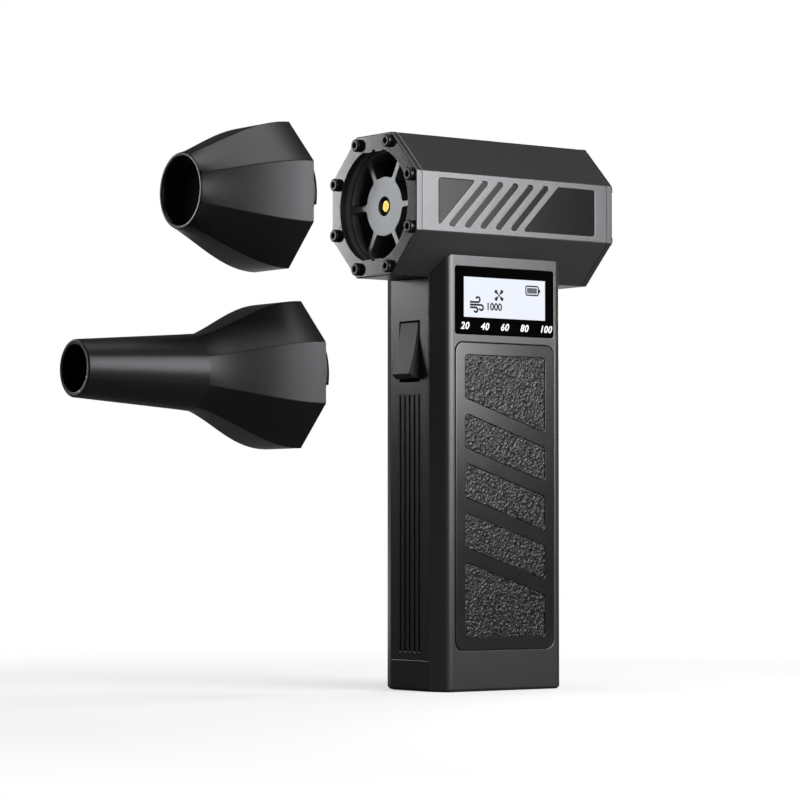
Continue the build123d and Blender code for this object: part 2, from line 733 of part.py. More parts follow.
def half_shell(side):
    """What both halves of the handle share; side is -1 in front and 1 behind."""
    outward = 0 if side < 0 else -1
    half_plane = (Align.CENTER, Align.MAX if side < 0 else Align.MIN)
    own_base_spots = [spot for spot in base_spots if side * spot[1] > 0]
    own_neck_spots = [spot for spot in grid_of_spots(neck_screw_spacing) if side * spot[1] > 0]
    with BuildPart() as shell:
        with BuildSketch() as outline:
            Polygon(
                (-half_width, 0),
                (-half_width, side * half_strip),
                (-half_front, side * half_depth),
                (half_front, side * half_depth),
                (half_width, side * half_strip),
                (half_width, 0),
                align=None,
            )
            fillet(outline.vertices().group_by(Axis.Y)[outward], corner_radius)
        extrude(amount=axis_height)
        rim = shell.edges().group_by(Axis.Z)[0]
        chamfer(rim.filter_by(lambda edge: side * edge.center().Y > fit_gap), base_edge)
        # saddle for the barrel
        with BuildSketch(across(outlet_face)):
            octagon(apothem + saddle_gap)
        extrude(amount=barrel_length, mode=Mode.SUBTRACT)
        # cavity, open below
        with BuildSketch() as hollow:
            Rectangle(cavity_width, cavity_y, align=half_plane)
            fillet(hollow.vertices().group_by(Axis.Y)[outward], corner_radius - 1)
        extrude(amount=cavity_top, mode=Mode.SUBTRACT)
        # channels for the side strips, and for the tongues of the base cap below them
        with BuildSketch():
            Rectangle(handle_width, half_strip, align=half_plane)
            Rectangle(2 * strip_inner, half_strip, align=half_plane, mode=Mode.SUBTRACT)
        extrude(amount=axis_height, mode=Mode.SUBTRACT)
        with BuildSketch():
            Rectangle(handle_width, half_strip, align=half_plane)
        extrude(amount=strip_foot, mode=Mode.SUBTRACT)
        # bosses for the base screws
        with BuildSketch(Plane.XY.offset(base_thickness)):
            with Locations(*own_base_spots):
                Circle(base_boss_radius)
                Rectangle(base_boss_radius, base_screw_inset[1] + base_edge, align=half_plane)
        extrude(amount=base_boss_height)
        with BuildSketch(Plane.XY.offset(base_thickness)):
            with Locations(*own_base_spots):
                Circle(base_screw_radius + hole_gap)
        extrude(amount=base_boss_height, mode=Mode.SUBTRACT)
        # bosses for the screws that hold the halves together
        with BuildSketch(facing_front(0)):
            with Locations(*shell_screw_spots):
                Circle(shell_boss_radius)
        extrude(amount=-side * cavity_y)
        # holes up into the barrel for the neck screws and the motor leads
        with BuildSketch(Plane.XY.offset(cavity_top)):
            with Locations(*own_neck_spots):
                Circle(neck_screw_radius + 2 * hole_gap)
            with Locations((lead_x, 0)):
                SlotOverall(2 * lead_pitch + 3 * lead_radius, 3 * lead_radius)
        extrude(amount=2 * top_wall, mode=Mode.SUBTRACT)
        # window behind the trigger and blind hole for its pin
        with BuildSketch(across(-strip_inner, 0)):
            with Locations((0, slot_bottom)):
                Rectangle(half_slot, slot_top - slot_bottom, align=(half_plane[1], Align.MIN))
        extrude(amount=strip_inner - cavity_x, mode=Mode.SUBTRACT)
        with BuildSketch(facing_front(0)):
            with Locations((pivot_x, pivot_height)):
                Circle(pin_radius + press_gap)
        extrude(amount=-side * (pin_length / 2 + fit_gap), mode=Mode.SUBTRACT)
        # charging port
        with BuildSketch(facing_side(half_width, 1)):
            with Locations((0, port_height)):
                SlotOverall(port_width + 2 * fit_gap, port_thickness + 2 * fit_gap)
        extrude(amount=cavity_x - half_width, mode=Mode.SUBTRACT)
    return shell.part


with BuildPart() as handle_front_shell:
    add(half_shell(-1))
    with BuildSketch(facing_front(0)):
        with Locations(*shell_screw_spots):
            Circle(shell_screw_radius + hole_gap)
    extrude(amount=shell_screw_grip, mode=Mode.SUBTRACT)
    extrude(grip_outline(facing_front(-half_depth), fit_gap), amount=-grip_seat, mode=Mode.SUBTRACT)
    with BuildSketch(facing_front(-half_depth)):
        with Locations((0, bezel_centre)):
            RectangleRounded(bezel_width + 2 * fit_gap, bezel_height + 2 * fit_gap, bezel_corner)
    extrude(amount=-bezel_thickness, mode=Mode.SUBTRACT)
    with BuildSketch(facing_front(-half_depth)):
        with Locations((0, lcd_centre)):
            Rectangle(lcd_width + 2 * fit_gap, lcd_height + 2 * fit_gap)
    extrude(amount=-half_depth + cavity_y - fit_gap, mode=Mode.SUBTRACT)
    with BuildSketch(facing_front(-cavity_y)):
        with Locations((0, display_board_centre)):
            Rectangle(display_board_width + 2 * fit_gap, display_board_height + 2 * fit_gap)
    extrude(amount=-display_recess, mode=Mode.SUBTRACT)
save(handle_front_shell, "handle_front_shell")

with BuildPart() as handle_rear_shell:
    add(half_shell(1))
    with BuildSketch(facing_rear(half_depth)):
        with Locations(*shell_screw_spots):
            Circle(shell_screw_radius + 2 * hole_gap)
    extrude(amount=-half_depth, mode=Mode.SUBTRACT)
    with BuildSketch(facing_rear(half_depth)):
        with Locations(*shell_screw_spots):
            Circle(shell_screw_head + fit_gap)
    extrude(amount=-grip_seat - shell_screw_head_height, mode=Mode.SUBTRACT)
    extrude(grip_outline(facing_rear(half_depth), fit_gap), amount=-grip_seat, mode=Mode.SUBTRACT)
save(handle_rear_shell, "handle_rear_shell")

# ---------------------------------------------------------------- side strips and base
def side_strip(side):
    """Grooved strip let into a side of the handle; side -1 is the trigger side."""
    with BuildPart() as strip:
        with BuildSketch(Plane.XY.offset(strip_foot + panel_gap)):
            with Locations((side * (half_width - strip_thickness / 2), 0)):
                Rectangle(strip_thickness, strip_width - 2 * panel_gap)
        extrude(amount=axis_height - strip_foot)
        with BuildSketch(across(outlet_face)):
            octagon(apothem + saddle_gap)
        extrude(amount=barrel_length, mode=Mode.SUBTRACT)
    return strip.part


with BuildPart() as left_strip:
    add(side_strip(-1))
    with BuildSketch(facing_side(-half_width, -1)):
        with Locations((0, (groove_bottom + groove_top) / 2)):
            with GridLocations(groove_pitch, 0, groove_count, 1):
                Rectangle(groove_width, groove_top - groove_bottom)
    extrude(amount=-groove_depth, mode=Mode.SUBTRACT)
    with BuildSketch(facing_side(-half_width, -1)):
        with Locations((0, (slot_bottom + slot_top) / 2)):
            Rectangle(2 * half_slot, slot_top - slot_bottom)
    extrude(amount=-strip_thickness, mode=Mode.SUBTRACT)
save(left_strip, "left_strip")

with BuildPart() as right_strip:
    add(side_strip(1))
    with BuildSketch(facing_side(half_width, 1)):
        with Locations((0, (port_height + port_clear + groove_top) / 2)):
            with GridLocations(groove_pitch, 0, groove_count, 1):
                Rectangle(groove_width, groove_top - port_height - port_clear)
    extrude(amount=-groove_depth, mode=Mode.SUBTRACT)
    with BuildSketch(facing_side(half_width, 1)):
        with Locations((0, port_height)):
            SlotOverall(port_width + 2 * fit_gap, port_thickness + 2 * fit_gap)
    extrude(amount=-strip_thickness, mode=Mode.SUBTRACT)
save(right_strip, "right_strip")

with BuildPart() as base_cap:
    with BuildSketch():
        RectangleRounded(cavity_width - 2 * fit_gap, cavity_depth - 2 * fit_gap, corner_radius - 1)
    extrude(amount=base_thickness)
    for side in (-1, 1):
        tongue_thickness = half_width - cavity_x + fit_gap
        with BuildSketch():
            with Locations((side * (half_width - tongue_thickness / 2), 0)):
                Rectangle(tongue_thickness, strip_width - 2 * panel_gap)
        extrude(amount=strip_foot)
    corner_edges = base_cap.edges().filter_by(Axis.Y).group_by(Axis.Z)[0]
    chamfer(corner_edges.filter_by(lambda edge: abs(edge.center().X) > half_width - fit_gap), base_edge)
    with BuildSketch():
        with Locations(*base_spots):
            Circle(base_screw_radius + 2 * hole_gap)
    extrude(amount=base_thickness, mode=Mode.SUBTRACT)
    with BuildSketch():
        with Locations(*base_spots):
            Circle(base_screw_head + fit_gap)
    extrude(amount=base_thickness / 2, mode=Mode.SUBTRACT)
save(base_cap, "base_cap")

base_seat = Plane(origin=(0, 0, base_thickness / 2), x_dir=(1, 0, 0), z_dir=(0, 0, -1))
base_screws = cap_screws(
    base_seat, base_spots, base_screw_radius, base_screw_length,
    base_screw_head, base_thickness / 2 - fit_gap, 1.2 * base_screw_radius,
)
save(base_screws, "base_screws")

shell_seat = facing_rear(half_depth - grip_seat - shell_screw_head_height)
shell_screws = cap_screws(
    shell_seat, shell_screw_spots, shell_screw_radius,
    half_depth - grip_seat - shell_screw_head_height + shell_screw_grip - shell_screw_free,
    shell_screw_head, shell_screw_head_height - fit_gap, 1.4 * shell_screw_radius,
)
save(shell_screws, "shell_screws")

neck_seat = Plane(origin=(0, 0, cavity_top), x_dir=(1, 0, 0), z_dir=(0, 0, -1))
neck_screws = cap_screws(
    neck_seat, grid_of_spots(neck_screw_spacing), neck_screw_radius,
    top_wall + neck_screw_grip - neck_screw_free,
    1.7 * neck_screw_radius, neck_screw_radius, 1.5 * neck_screw_radius,
)
save(neck_screws, "neck_screws")

# ---------------------------------------------------------------- trigger
with BuildPart() as trigger:
    with BuildSketch(facing_front(trigger_width / 2)) as wedge:
        with BuildLine():
            back = Polyline(
                (-half_width - trigger_reach, trigger_bottom + trigger_lip),
                (-half_width - trigger_reach + trigger_lip, trigger_bottom),
                (-half_width + trigger_thickness, trigger_bottom),
                (-half_width + trigger_thickness, pivot_height - knuckle_radius),
                (pivot_x, pivot_height - knuckle_radius),
                (pivot_x, trigger_top),
                (-half_width, trigger_top),
            )
            hollow = (back @ 0 + back @ 1) / 2 + Vector(trigger_hollow, 0)
            ThreePointArc(back @ 1, hollow, back @ 0)
        make_face()
        fillet(wedge.vertices().sort_by(Axis.X)[:2], trigger_nose)
        with Locations((pivot_x, pivot_height)):
            Circle(knuckle_radius)
        with Locations((-half_width + trigger_thickness, plunger_height)):
            Rectangle(nub_length, 2 * plunger_radius, align=(Align.MIN, Align.CENTER))
        with Locations((pivot_x, pivot_height)):
            Circle(pin_radius + pivot_gap, mode=Mode.SUBTRACT)
    extrude(amount=trigger_width)
    side_edges = trigger.faces().sort_by(Axis.Y)[0].edges() + trigger.faces().sort_by(Axis.Y)[-1].edges()
    front_edges = side_edges.filter_by(lambda edge: edge.center().X < -half_width - fit_gap)
    chamfer(front_edges, trigger_edge)
    with BuildSketch(facing_side(-half_width + trigger_thickness, 1)):
        for side in (-1, 1):
            with Locations((side * trigger_width / 2, plunger_height)):
                Rectangle(trigger_width - 2 * plunger_radius, 3 * plunger_radius)
    extrude(amount=nub_length, mode=Mode.SUBTRACT)
save(trigger, "trigger")

with BuildPart() as trigger_pin:
    with BuildSketch(facing_front(pin_length / 2)):
        with Locations((pivot_x, pivot_height)):
            Circle(pin_radius)
    extrude(amount=pin_length)
save(trigger_pin, "trigger_pin")

nub_face = -half_width + trigger_thickness + nub_length
plunger_face = nub_face + plunger_gap
switch_face = plunger_face + plunger_stand
plunger_length = plunger_stand + plunger_engaged
carrier_face = switch_face + switch_depth
carrier_top = slot_top + carrier_margin
carrier_foot = slot_bottom - carrier_margin

with BuildPart() as trigger_switch:
    with BuildSketch(across(switch_face, 0)):
        with Locations((0, plunger_height)):
            RectangleRounded(switch_size, switch_size, switch_corner)
    extrude(amount=switch_depth)
    with BuildSketch(across(switch_face, 0)):
        with Locations((0, plunger_height)):
            Circle(plunger_radius + hole_gap)
    extrude(amount=switch_depth - switch_floor, mode=Mode.SUBTRACT)
save(trigger_switch, "trigger_switch")

with BuildPart() as switch_plunger:
    with BuildSketch(across(plunger_face, 0)):
        with Locations((0, plunger_height)):
            Circle(plunger_radius)
    extrude(amount=plunger_length)
    chamfer(switch_plunger.edges().group_by(Axis.X)[0], plunger_chamfer)
save(switch_plunger, "switch_plunger")

with BuildPart() as switch_carrier:
    with BuildSketch(across(carrier_face, 0)):
        with Locations((0, (carrier_foot + carrier_top) / 2)):
            RectangleRounded(carrier_width, carrier_top - carrier_foot, carrier_inset)
    extrude(amount=carrier_thickness)
    for height in (carrier_foot + carrier_leg / 2, carrier_top - carrier_leg / 2):
        with BuildSketch(across(-cavity_x, 0)):
            with Locations((0, height)):
                Rectangle(carrier_width - 2 * carrier_inset, carrier_leg)
        extrude(amount=carrier_face + cavity_x)
    with BuildSketch(across(carrier_face, 0)):
        with Locations((0, spring_height)):
            Circle(spring_radius - spring_wire)
    extrude(amount=-spring_post)
save(switch_carrier, "switch_carrier")

spring_start = -half_width + trigger_thickness + spring_wire / 2
spring_end = carrier_face - spring_wire / 2
with BuildPart() as trigger_spring:
    with BuildLine():
        coil = Helix(
            pitch=(spring_end - spring_start) / spring_turns,
            height=spring_end - spring_start,
            radius=spring_radius,
            center=(spring_start, 0, spring_height),
            direction=(1, 0, 0),
        )
    with BuildSketch(Plane(origin=coil @ 0, z_dir=coil % 0)):
        Circle(spring_wire / 2)
    sweep(path=coil, is_frenet=True)
save(trigger_spring, "trigger_spring")

# ---------------------------------------------------------------- display
with BuildPart() as display_bezel:
    with BuildSketch(facing_front(-half_depth + bezel_thickness)):
        with Locations((0, bezel_centre)):
            RectangleRounded(bezel_width, bezel_height, bezel_corner)
        with Locations((0, lcd_centre)):
            Rectangle(lcd_width + 2 * hole_gap, lcd_height + 2 * hole_gap, mode=Mode.SUBTRACT)
    extrude(amount=bezel_thickness + bezel_stand)
    chamfer(display_bezel.faces().sort_by(Axis.Y)[0].outer_wire().edges(), bezel_edge)
save(display_bezel, "display_bezel")

lcd_front = -half_depth - bezel_stand + lcd_sink
with BuildPart() as lcd_panel:
    with BuildSketch(facing_front(lcd_front)):
        with Locations((0, lcd_centre)):
            Rectangle(lcd_width, lcd_height)
    extrude(amount=-lcd_thickness)
save(lcd_panel, "lcd_panel")

with BuildPart() as display_board:
    with BuildSketch(facing_front(lcd_front + lcd_thickness)):
        with Locations((0, display_board_centre)):
            Rectangle(display_board_width, display_board_height)
    extrude(amount=-board_thickness)
save(display_board, "display_board")

# ---------------------------------------------------------------- grip panels
def pad_windows(panel, shrink=0.0):
    """Five windows of a grip frame, parted by slanted bars."""
    with BuildSketch(panel) as windows:
        with Locations((0, (pad_bottom + pad_top) / 2)):
            Rectangle(pad_width, pad_top - pad_bottom)
        for k in range(pad_count - 1):
            with Locations((0, grip_middle - pad_shift + (k - pad_count / 2 + 1) * pad_pitch)):
                Rectangle(
                    2 * pad_width, pad_bar * cos(radians(pad_slope)), rotation=-pad_slope, mode=Mode.SUBTRACT
                )
        fillet(windows.vertices(), pad_corner)
        if shrink:
            offset(amount=-shrink)
    return windows.sketch


for side, name, pads_name in (
    (-1, "front_grip_frame", "front_grip_pads"),
    (1, "rear_grip_frame", "rear_grip_pads"),
):
    seat_depth = side * (half_depth - grip_seat)
    seat = facing_front(seat_depth) if side < 0 else facing_rear(seat_depth)
    with BuildPart() as grip_frame:
        extrude(grip_outline(seat), amount=grip_seat + grip_stand)
        chamfer(grip_frame.faces().sort_by(Axis.Y)[0 if side < 0 else -1].edges(), grip_edge)
        extrude(pad_windows(seat), amount=grip_seat + grip_stand, mode=Mode.SUBTRACT)
    save(grip_frame, name)

    with BuildPart() as grip_pads:
        extrude(pad_windows(seat, shrink=hole_gap), amount=pad_thickness)
    save(grip_pads, pads_name)

# ---------------------------------------------------------------- battery and boards
cell_tops = cell_foot + 2 * cell_length + strip_metal
tray_foot = base_thickness + fit_gap
tray_back = cell_radius + fit_gap
tray_reach = cell_spacing / 2 + cell_radius
board_back = tray_back + tray_wall + standoff_height
board_face = board_back + board_thickness
driver_top = cavity_top - driver_drop
driver_height = driver_top - driver_foot
driver_centre = driver_foot + driver_height / 2
lead_depth = board_face + lead_radius + hole_gap
cell_spots = [(-cell_spacing / 2, 0), (cell_spacing / 2, 0)]

with BuildPart() as battery_cells:
    for foot in (cell_foot, cell_foot + cell_length + strip_metal):
        with BuildSketch(Plane.XY.offset(foot)):
            with Locations(*cell_spots):
                Circle(cell_radius)
        extrude(amount=cell_length)
    chamfer(battery_cells.edges().filter_by(GeomType.CIRCLE), cell_edge)
save(battery_cells, "battery_cells")

with BuildPart() as nickel_strips:
    with BuildSketch(Plane.XY.offset(cell_foot - strip_metal)):
        Rectangle(cell_spacing + tab_size, tab_size)
    extrude(amount=strip_metal)
    for height in (cell_foot + cell_length, cell_tops):
        with BuildSketch(Plane.XY.offset(height)):
            with Locations(*cell_spots):
                Rectangle(tab_size, tab_size)
        extrude(amount=strip_metal)
save(nickel_strips, "nickel_strips")

with BuildPart() as cell_tray:
    with BuildSketch(Plane.XY.offset(tray_foot)):
        with Locations((0, tray_back)):
            Rectangle(2 * tray_reach, tray_wall, align=(Align.CENTER, Align.MIN))
    extrude(amount=cell_tops + strip_metal + tray_wall - tray_foot)
    for foot, thickness in (
        (tray_foot, cell_foot - strip_metal - tray_foot),
        (cell_tops + strip_metal, tray_wall),
    ):
        with BuildSketch(Plane.XY.offset(foot)):
            with Locations((0, tray_back)):
                Rectangle(2 * tray_reach, 2 * cell_radius, align=(Align.CENTER, Align.MAX))
        extrude(amount=thickness)
    with BuildSketch(facing_rear(tray_back + tray_wall)):
        standoffs = (driver_width - 2 * standoff_inset, driver_height - 2 * standoff_inset)
        with Locations(*grid_of_spots(standoffs, (0, driver_centre))):
            Circle(standoff_radius)
    extrude(amount=standoff_height)
    with BuildSketch(Plane.XY.offset(cell_tops)):
        with Locations(*[(x, battery_lead_y) for x, _ in cell_spots]):
            Circle(lead_radius + fit_gap)
    extrude(amount=2 * tray_wall, mode=Mode.SUBTRACT)
save(cell_tray, "cell_tray")

with BuildPart() as driver_board:
    with BuildSketch(facing_rear(board_back)):
        with Locations((0, driver_centre)):
            RectangleRounded(driver_width, driver_height, board_corner)
    extrude(amount=board_thickness)
save(driver_board, "driver_board")

with BuildPart() as power_transistors:
    with BuildSketch(facing_rear(board_face)):
        with Locations((0, driver_top - transistor_drop)):
            with GridLocations(*transistor_pitch, 3, 2):
                Rectangle(*transistor_size)
    extrude(amount=transistor_height)
save(power_transistors, "power_transistors")

with BuildPart() as control_chip:
    with BuildSketch(facing_rear(board_face)):
        with Locations((0, driver_foot + chip_rise)):
            Rectangle(chip_size, chip_size)
    extrude(amount=chip_height)
    chamfer(control_chip.faces().sort_by(Axis.Y)[-1].edges(), chip_edge)
save(control_chip, "control_chip")

port_start = half_width - port_sink
port_back = port_start - port_depth
with BuildPart() as charge_port:
    with BuildSketch(facing_side(port_start, 1)):
        with Locations((0, port_height)):
            SlotOverall(port_width, port_thickness)
    extrude(amount=-port_depth)
    with BuildSketch(facing_side(port_start, 1)):
        with Locations((0, port_height)):
            SlotOverall(port_width - 2 * port_wall, port_thickness - 2 * port_wall)
    extrude(amount=port_floor - port_depth, mode=Mode.SUBTRACT)
    with BuildSketch(facing_side(port_back + tongue_start, 1)):
        with Locations((0, port_height)):
            Rectangle(*tongue_size)
    extrude(amount=tongue_length)
save(charge_port, "charge_port")

with BuildPart() as charge_board:
    with BuildSketch(facing_side(port_back, 1)):
        with Locations((0, port_height)):
            Rectangle(port_width + 2 * charge_board_margin, charge_board_height)
    extrude(amount=-board_thickness)
    with BuildSketch(facing_side(port_back, 1)):
        foot_offset = charge_board_height / 2 - charge_foot_inset - charge_foot / 2
        for side in (-1, 1):
            with Locations((0, port_height + side * foot_offset)):
                Rectangle(port_width, charge_foot)
    extrude(amount=cavity_x - port_back)
save(charge_board, "charge_board")


def lead(points, bend):
    """A round wire along straight runs joined by arcs."""
    with BuildPart() as wire:
        with BuildLine() as route:
            FilletPolyline(*points, radius=bend)
        with BuildSketch(Plane(origin=route.line @ 0, z_dir=route.line % 0)):
            Circle(lead_radius)
        sweep(path=route.line)
    return wire.part


lead_run = cell_tops + strip_metal + tray_wall + lead_rise
winding_reach = axis_height - hub_radius + can_wall + lead_end
with BuildPart() as motor_leads:
    for k in (-1, 0, 1):
        x = lead_x + k * lead_pitch
        add(lead(
            [(x, lead_depth, driver_top - lead_tail), (x, lead_depth, lead_run), (x, 0, lead_run),
             (x, 0, winding_reach)],
            lead_bend,
        ))
save(motor_leads, "motor_leads")

with BuildPart() as battery_leads:
    for x, _ in cell_spots:
        add(lead(
            [(x, battery_lead_y, cell_tops + strip_metal), (x, battery_lead_y, lead_run - lead_rise / 2),
             (x, lead_depth, lead_run - lead_rise / 2), (x, lead_depth, driver_top - lead_tail)],
            lead_rise / 2,
        ))
save(battery_leads, "battery_leads")

# ---------------------------------------------------------------- nozzles
def nozzle_section(x, height, vertex_radius, roundness):
    """Octagon whose sides bulge, from flat (0) to a full circle (1)."""
    flat = cos(pi / 8)
    middle_radius = vertex_radius * (flat + roundness * (1 - flat))
    with BuildSketch(across(x, height)) as section:
        with BuildLine():
            for k in range(8):
                corners = [pi / 8 + pi / 4 * (k + j) for j in (0, 0.5, 1)]
                radii = (vertex_radius, middle_radius, vertex_radius)
                start, middle, end = [(r * cos(a), r * sin(a)) for r, a in zip(radii, corners)]
                if roundness > 0:
                    ThreePointArc(start, middle, end)
                else:
                    Line(start, end)
        make_face()
    return section.sketch


def drawn_in(share, turn, sweep, end_radius):
    """Radius to the corners of a nozzle that narrows to an end radius, by its share of the length."""
    return octagon_vertex - (octagon_vertex - end_radius) * share**turn * (1 + sweep * (1 - share))


def wide_radius(share):
    return drawn_in(share, wide_turn, wide_sweep, wide_mouth_radius)


def flare_radius(share):
    return drawn_in(share, narrow_turn, narrow_sweep, narrow_neck_radius)


def nozzle_rear(rear, height):
    """Spigot with two catches that goes into the outlet of the barrel."""
    with BuildPart() as spigot:
        with BuildSketch(across(rear, height)):
            Circle(spigot_radius)
        extrude(amount=spigot_length)
        with BuildSketch(across(rear + spigot_length - lug_thickness, height)):
            for first in (lug_start, lug_start + 180):
                with BuildLine():
                    outside = CenterArc((0, 0), lug_radius, first, lug_sweep)
                    inside = CenterArc((0, 0), spigot_radius - spigot_wall / 2, first, lug_sweep)
                    Line(outside @ 0, inside @ 0)
                    Line(outside @ 1, inside @ 1)
                make_face()
        extrude(amount=lug_thickness)
    return spigot.part


with BuildPart() as wide_nozzle:
    loft([
        nozzle_section(
            wide_nozzle_rear - share * wide_nozzle_length, axis_height, wide_radius(share), share**wide_fade
        )
        for share in (0.0, 0.2, 0.4, 0.6, 0.8, 0.9, 1.0)
    ])
    flange_share = nozzle_flange / wide_nozzle_length
    loft([
        nozzle_section(
            wide_nozzle_rear - share * wide_nozzle_length,
            axis_height,
            wide_radius(share) - nozzle_wall + (nozzle_wall - wide_mouth_radius + wide_mouth_bore) * share,
            share**wide_fade,
        )
        for share in (flange_share, 0.2, 0.4, 0.6, 0.8, 0.9, 1.0)
    ], mode=Mode.SUBTRACT)
    add(nozzle_rear(wide_nozzle_rear, axis_height))
    with BuildSketch(across(wide_nozzle_rear - nozzle_flange)):
        Circle(spigot_radius - spigot_wall)
    extrude(amount=nozzle_flange + spigot_length, mode=Mode.SUBTRACT)
save(wide_nozzle, "wide_nozzle")

narrow_axis = axis_height - narrow_nozzle_drop
narrow_mouth = narrow_nozzle_rear - narrow_nozzle_length
neck_x = narrow_nozzle_rear - narrow_flare_length
with BuildPart() as narrow_nozzle:
    loft([
        nozzle_section(
            narrow_nozzle_rear - share * narrow_flare_length,
            narrow_axis,
            flare_radius(share),
            neck_round * share**narrow_fade,
        )
        for share in (0.0, 0.2, 0.4, 0.6, 0.8, 1.0)
    ])
    with BuildSketch(across(neck_x, narrow_axis)):
        Circle(narrow_neck_radius + neck_step)
    with BuildSketch(across(narrow_mouth, narrow_axis)):
        Circle(narrow_mouth_radius)
    loft()
    flange_share = nozzle_flange / narrow_flare_length
    loft([
        nozzle_section(
            narrow_nozzle_rear - share * narrow_flare_length,
            narrow_axis,
            flare_radius(share) - nozzle_wall,
            neck_round * share**narrow_fade,
        )
        for share in (flange_share, 0.2, 0.4, 0.6, 0.8, 1.0)
    ], mode=Mode.SUBTRACT)
    with BuildSketch(across(neck_x, narrow_axis)):
        Circle(narrow_neck_radius - nozzle_wall - neck_step)
    with BuildSketch(across(narrow_mouth, narrow_axis)):
        Circle(narrow_mouth_bore)
    loft(mode=Mode.SUBTRACT)
    add(nozzle_rear(narrow_nozzle_rear, narrow_axis))
    with BuildSketch(across(narrow_nozzle_rear - nozzle_flange, narrow_axis)):
        Circle(spigot_radius - spigot_wall)
    extrude(amount=nozzle_flange + spigot_length, mode=Mode.SUBTRACT)
save(narrow_nozzle, "narrow_nozzle")
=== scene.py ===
"""Looks of a hand-held turbo blower with two loose nozzles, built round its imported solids."""

from math import cos, pi, radians, sin

import bmesh
import bpy
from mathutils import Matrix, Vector, noise


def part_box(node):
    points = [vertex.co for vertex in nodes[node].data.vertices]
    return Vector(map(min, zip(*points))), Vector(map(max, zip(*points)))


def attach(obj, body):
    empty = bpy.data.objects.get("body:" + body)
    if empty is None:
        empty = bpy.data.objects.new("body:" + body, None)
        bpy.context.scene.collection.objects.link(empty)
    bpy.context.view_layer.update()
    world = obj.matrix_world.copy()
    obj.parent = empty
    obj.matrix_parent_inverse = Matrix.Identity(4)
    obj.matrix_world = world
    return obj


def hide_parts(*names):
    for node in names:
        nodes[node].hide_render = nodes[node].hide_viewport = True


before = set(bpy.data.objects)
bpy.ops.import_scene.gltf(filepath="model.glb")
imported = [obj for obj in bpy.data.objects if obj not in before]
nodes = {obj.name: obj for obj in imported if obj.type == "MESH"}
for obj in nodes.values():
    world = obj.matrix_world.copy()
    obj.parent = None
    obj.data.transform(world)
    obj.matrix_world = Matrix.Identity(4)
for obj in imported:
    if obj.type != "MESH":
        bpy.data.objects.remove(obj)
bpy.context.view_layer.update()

# Camera.  It stands low in front of the outlet, to the left of the display, and looks slightly up
# along a long lens, so that the upright edges stay nearly parallel.
camera_place = Vector((-0.69354, -0.88604, 0.05491))
camera_turn = radians(-36.717)
camera_rise = radians(2.444)
lens = bpy.data.cameras.new("camera")
lens.lens = 141.6
lens.sensor_width = 36.0
lens.clip_end = 20.0
camera = bpy.data.objects.new("camera", lens)
camera_look = Vector((
    -sin(camera_turn) * cos(camera_rise), cos(camera_turn) * cos(camera_rise), sin(camera_rise)
))
camera.location = camera_place
camera.rotation_euler = camera_look.to_track_quat("-Z", "Y").to_euler()
bpy.context.scene.collection.objects.link(camera)
bpy.context.scene.camera = camera
bpy.context.scene.view_settings.view_transform = "Standard"


# Floor and air round the object.  The floor is a pale board; far from the object it is plain white,
# as the air behind is, and near it the board keeps the soft shadow.
class Wire:
    """A shader socket that takes part in Python sums."""

    def __init__(self, finish, socket):
        self.finish = finish
        self.socket = socket

    def sum(self, operation, first, second):
        """One sum of two sockets or numbers."""
        return self.finish.node("Math", {"operation": operation}, {0: first, 1: second})

    def __add__(self, other):
        return self.sum("ADD", self, other)

    def __radd__(self, other):
        return self.sum("ADD", other, self)

    def __mul__(self, other):
        return self.sum("MULTIPLY", self, other)

    def __rmul__(self, other):
        return self.sum("MULTIPLY", other, self)


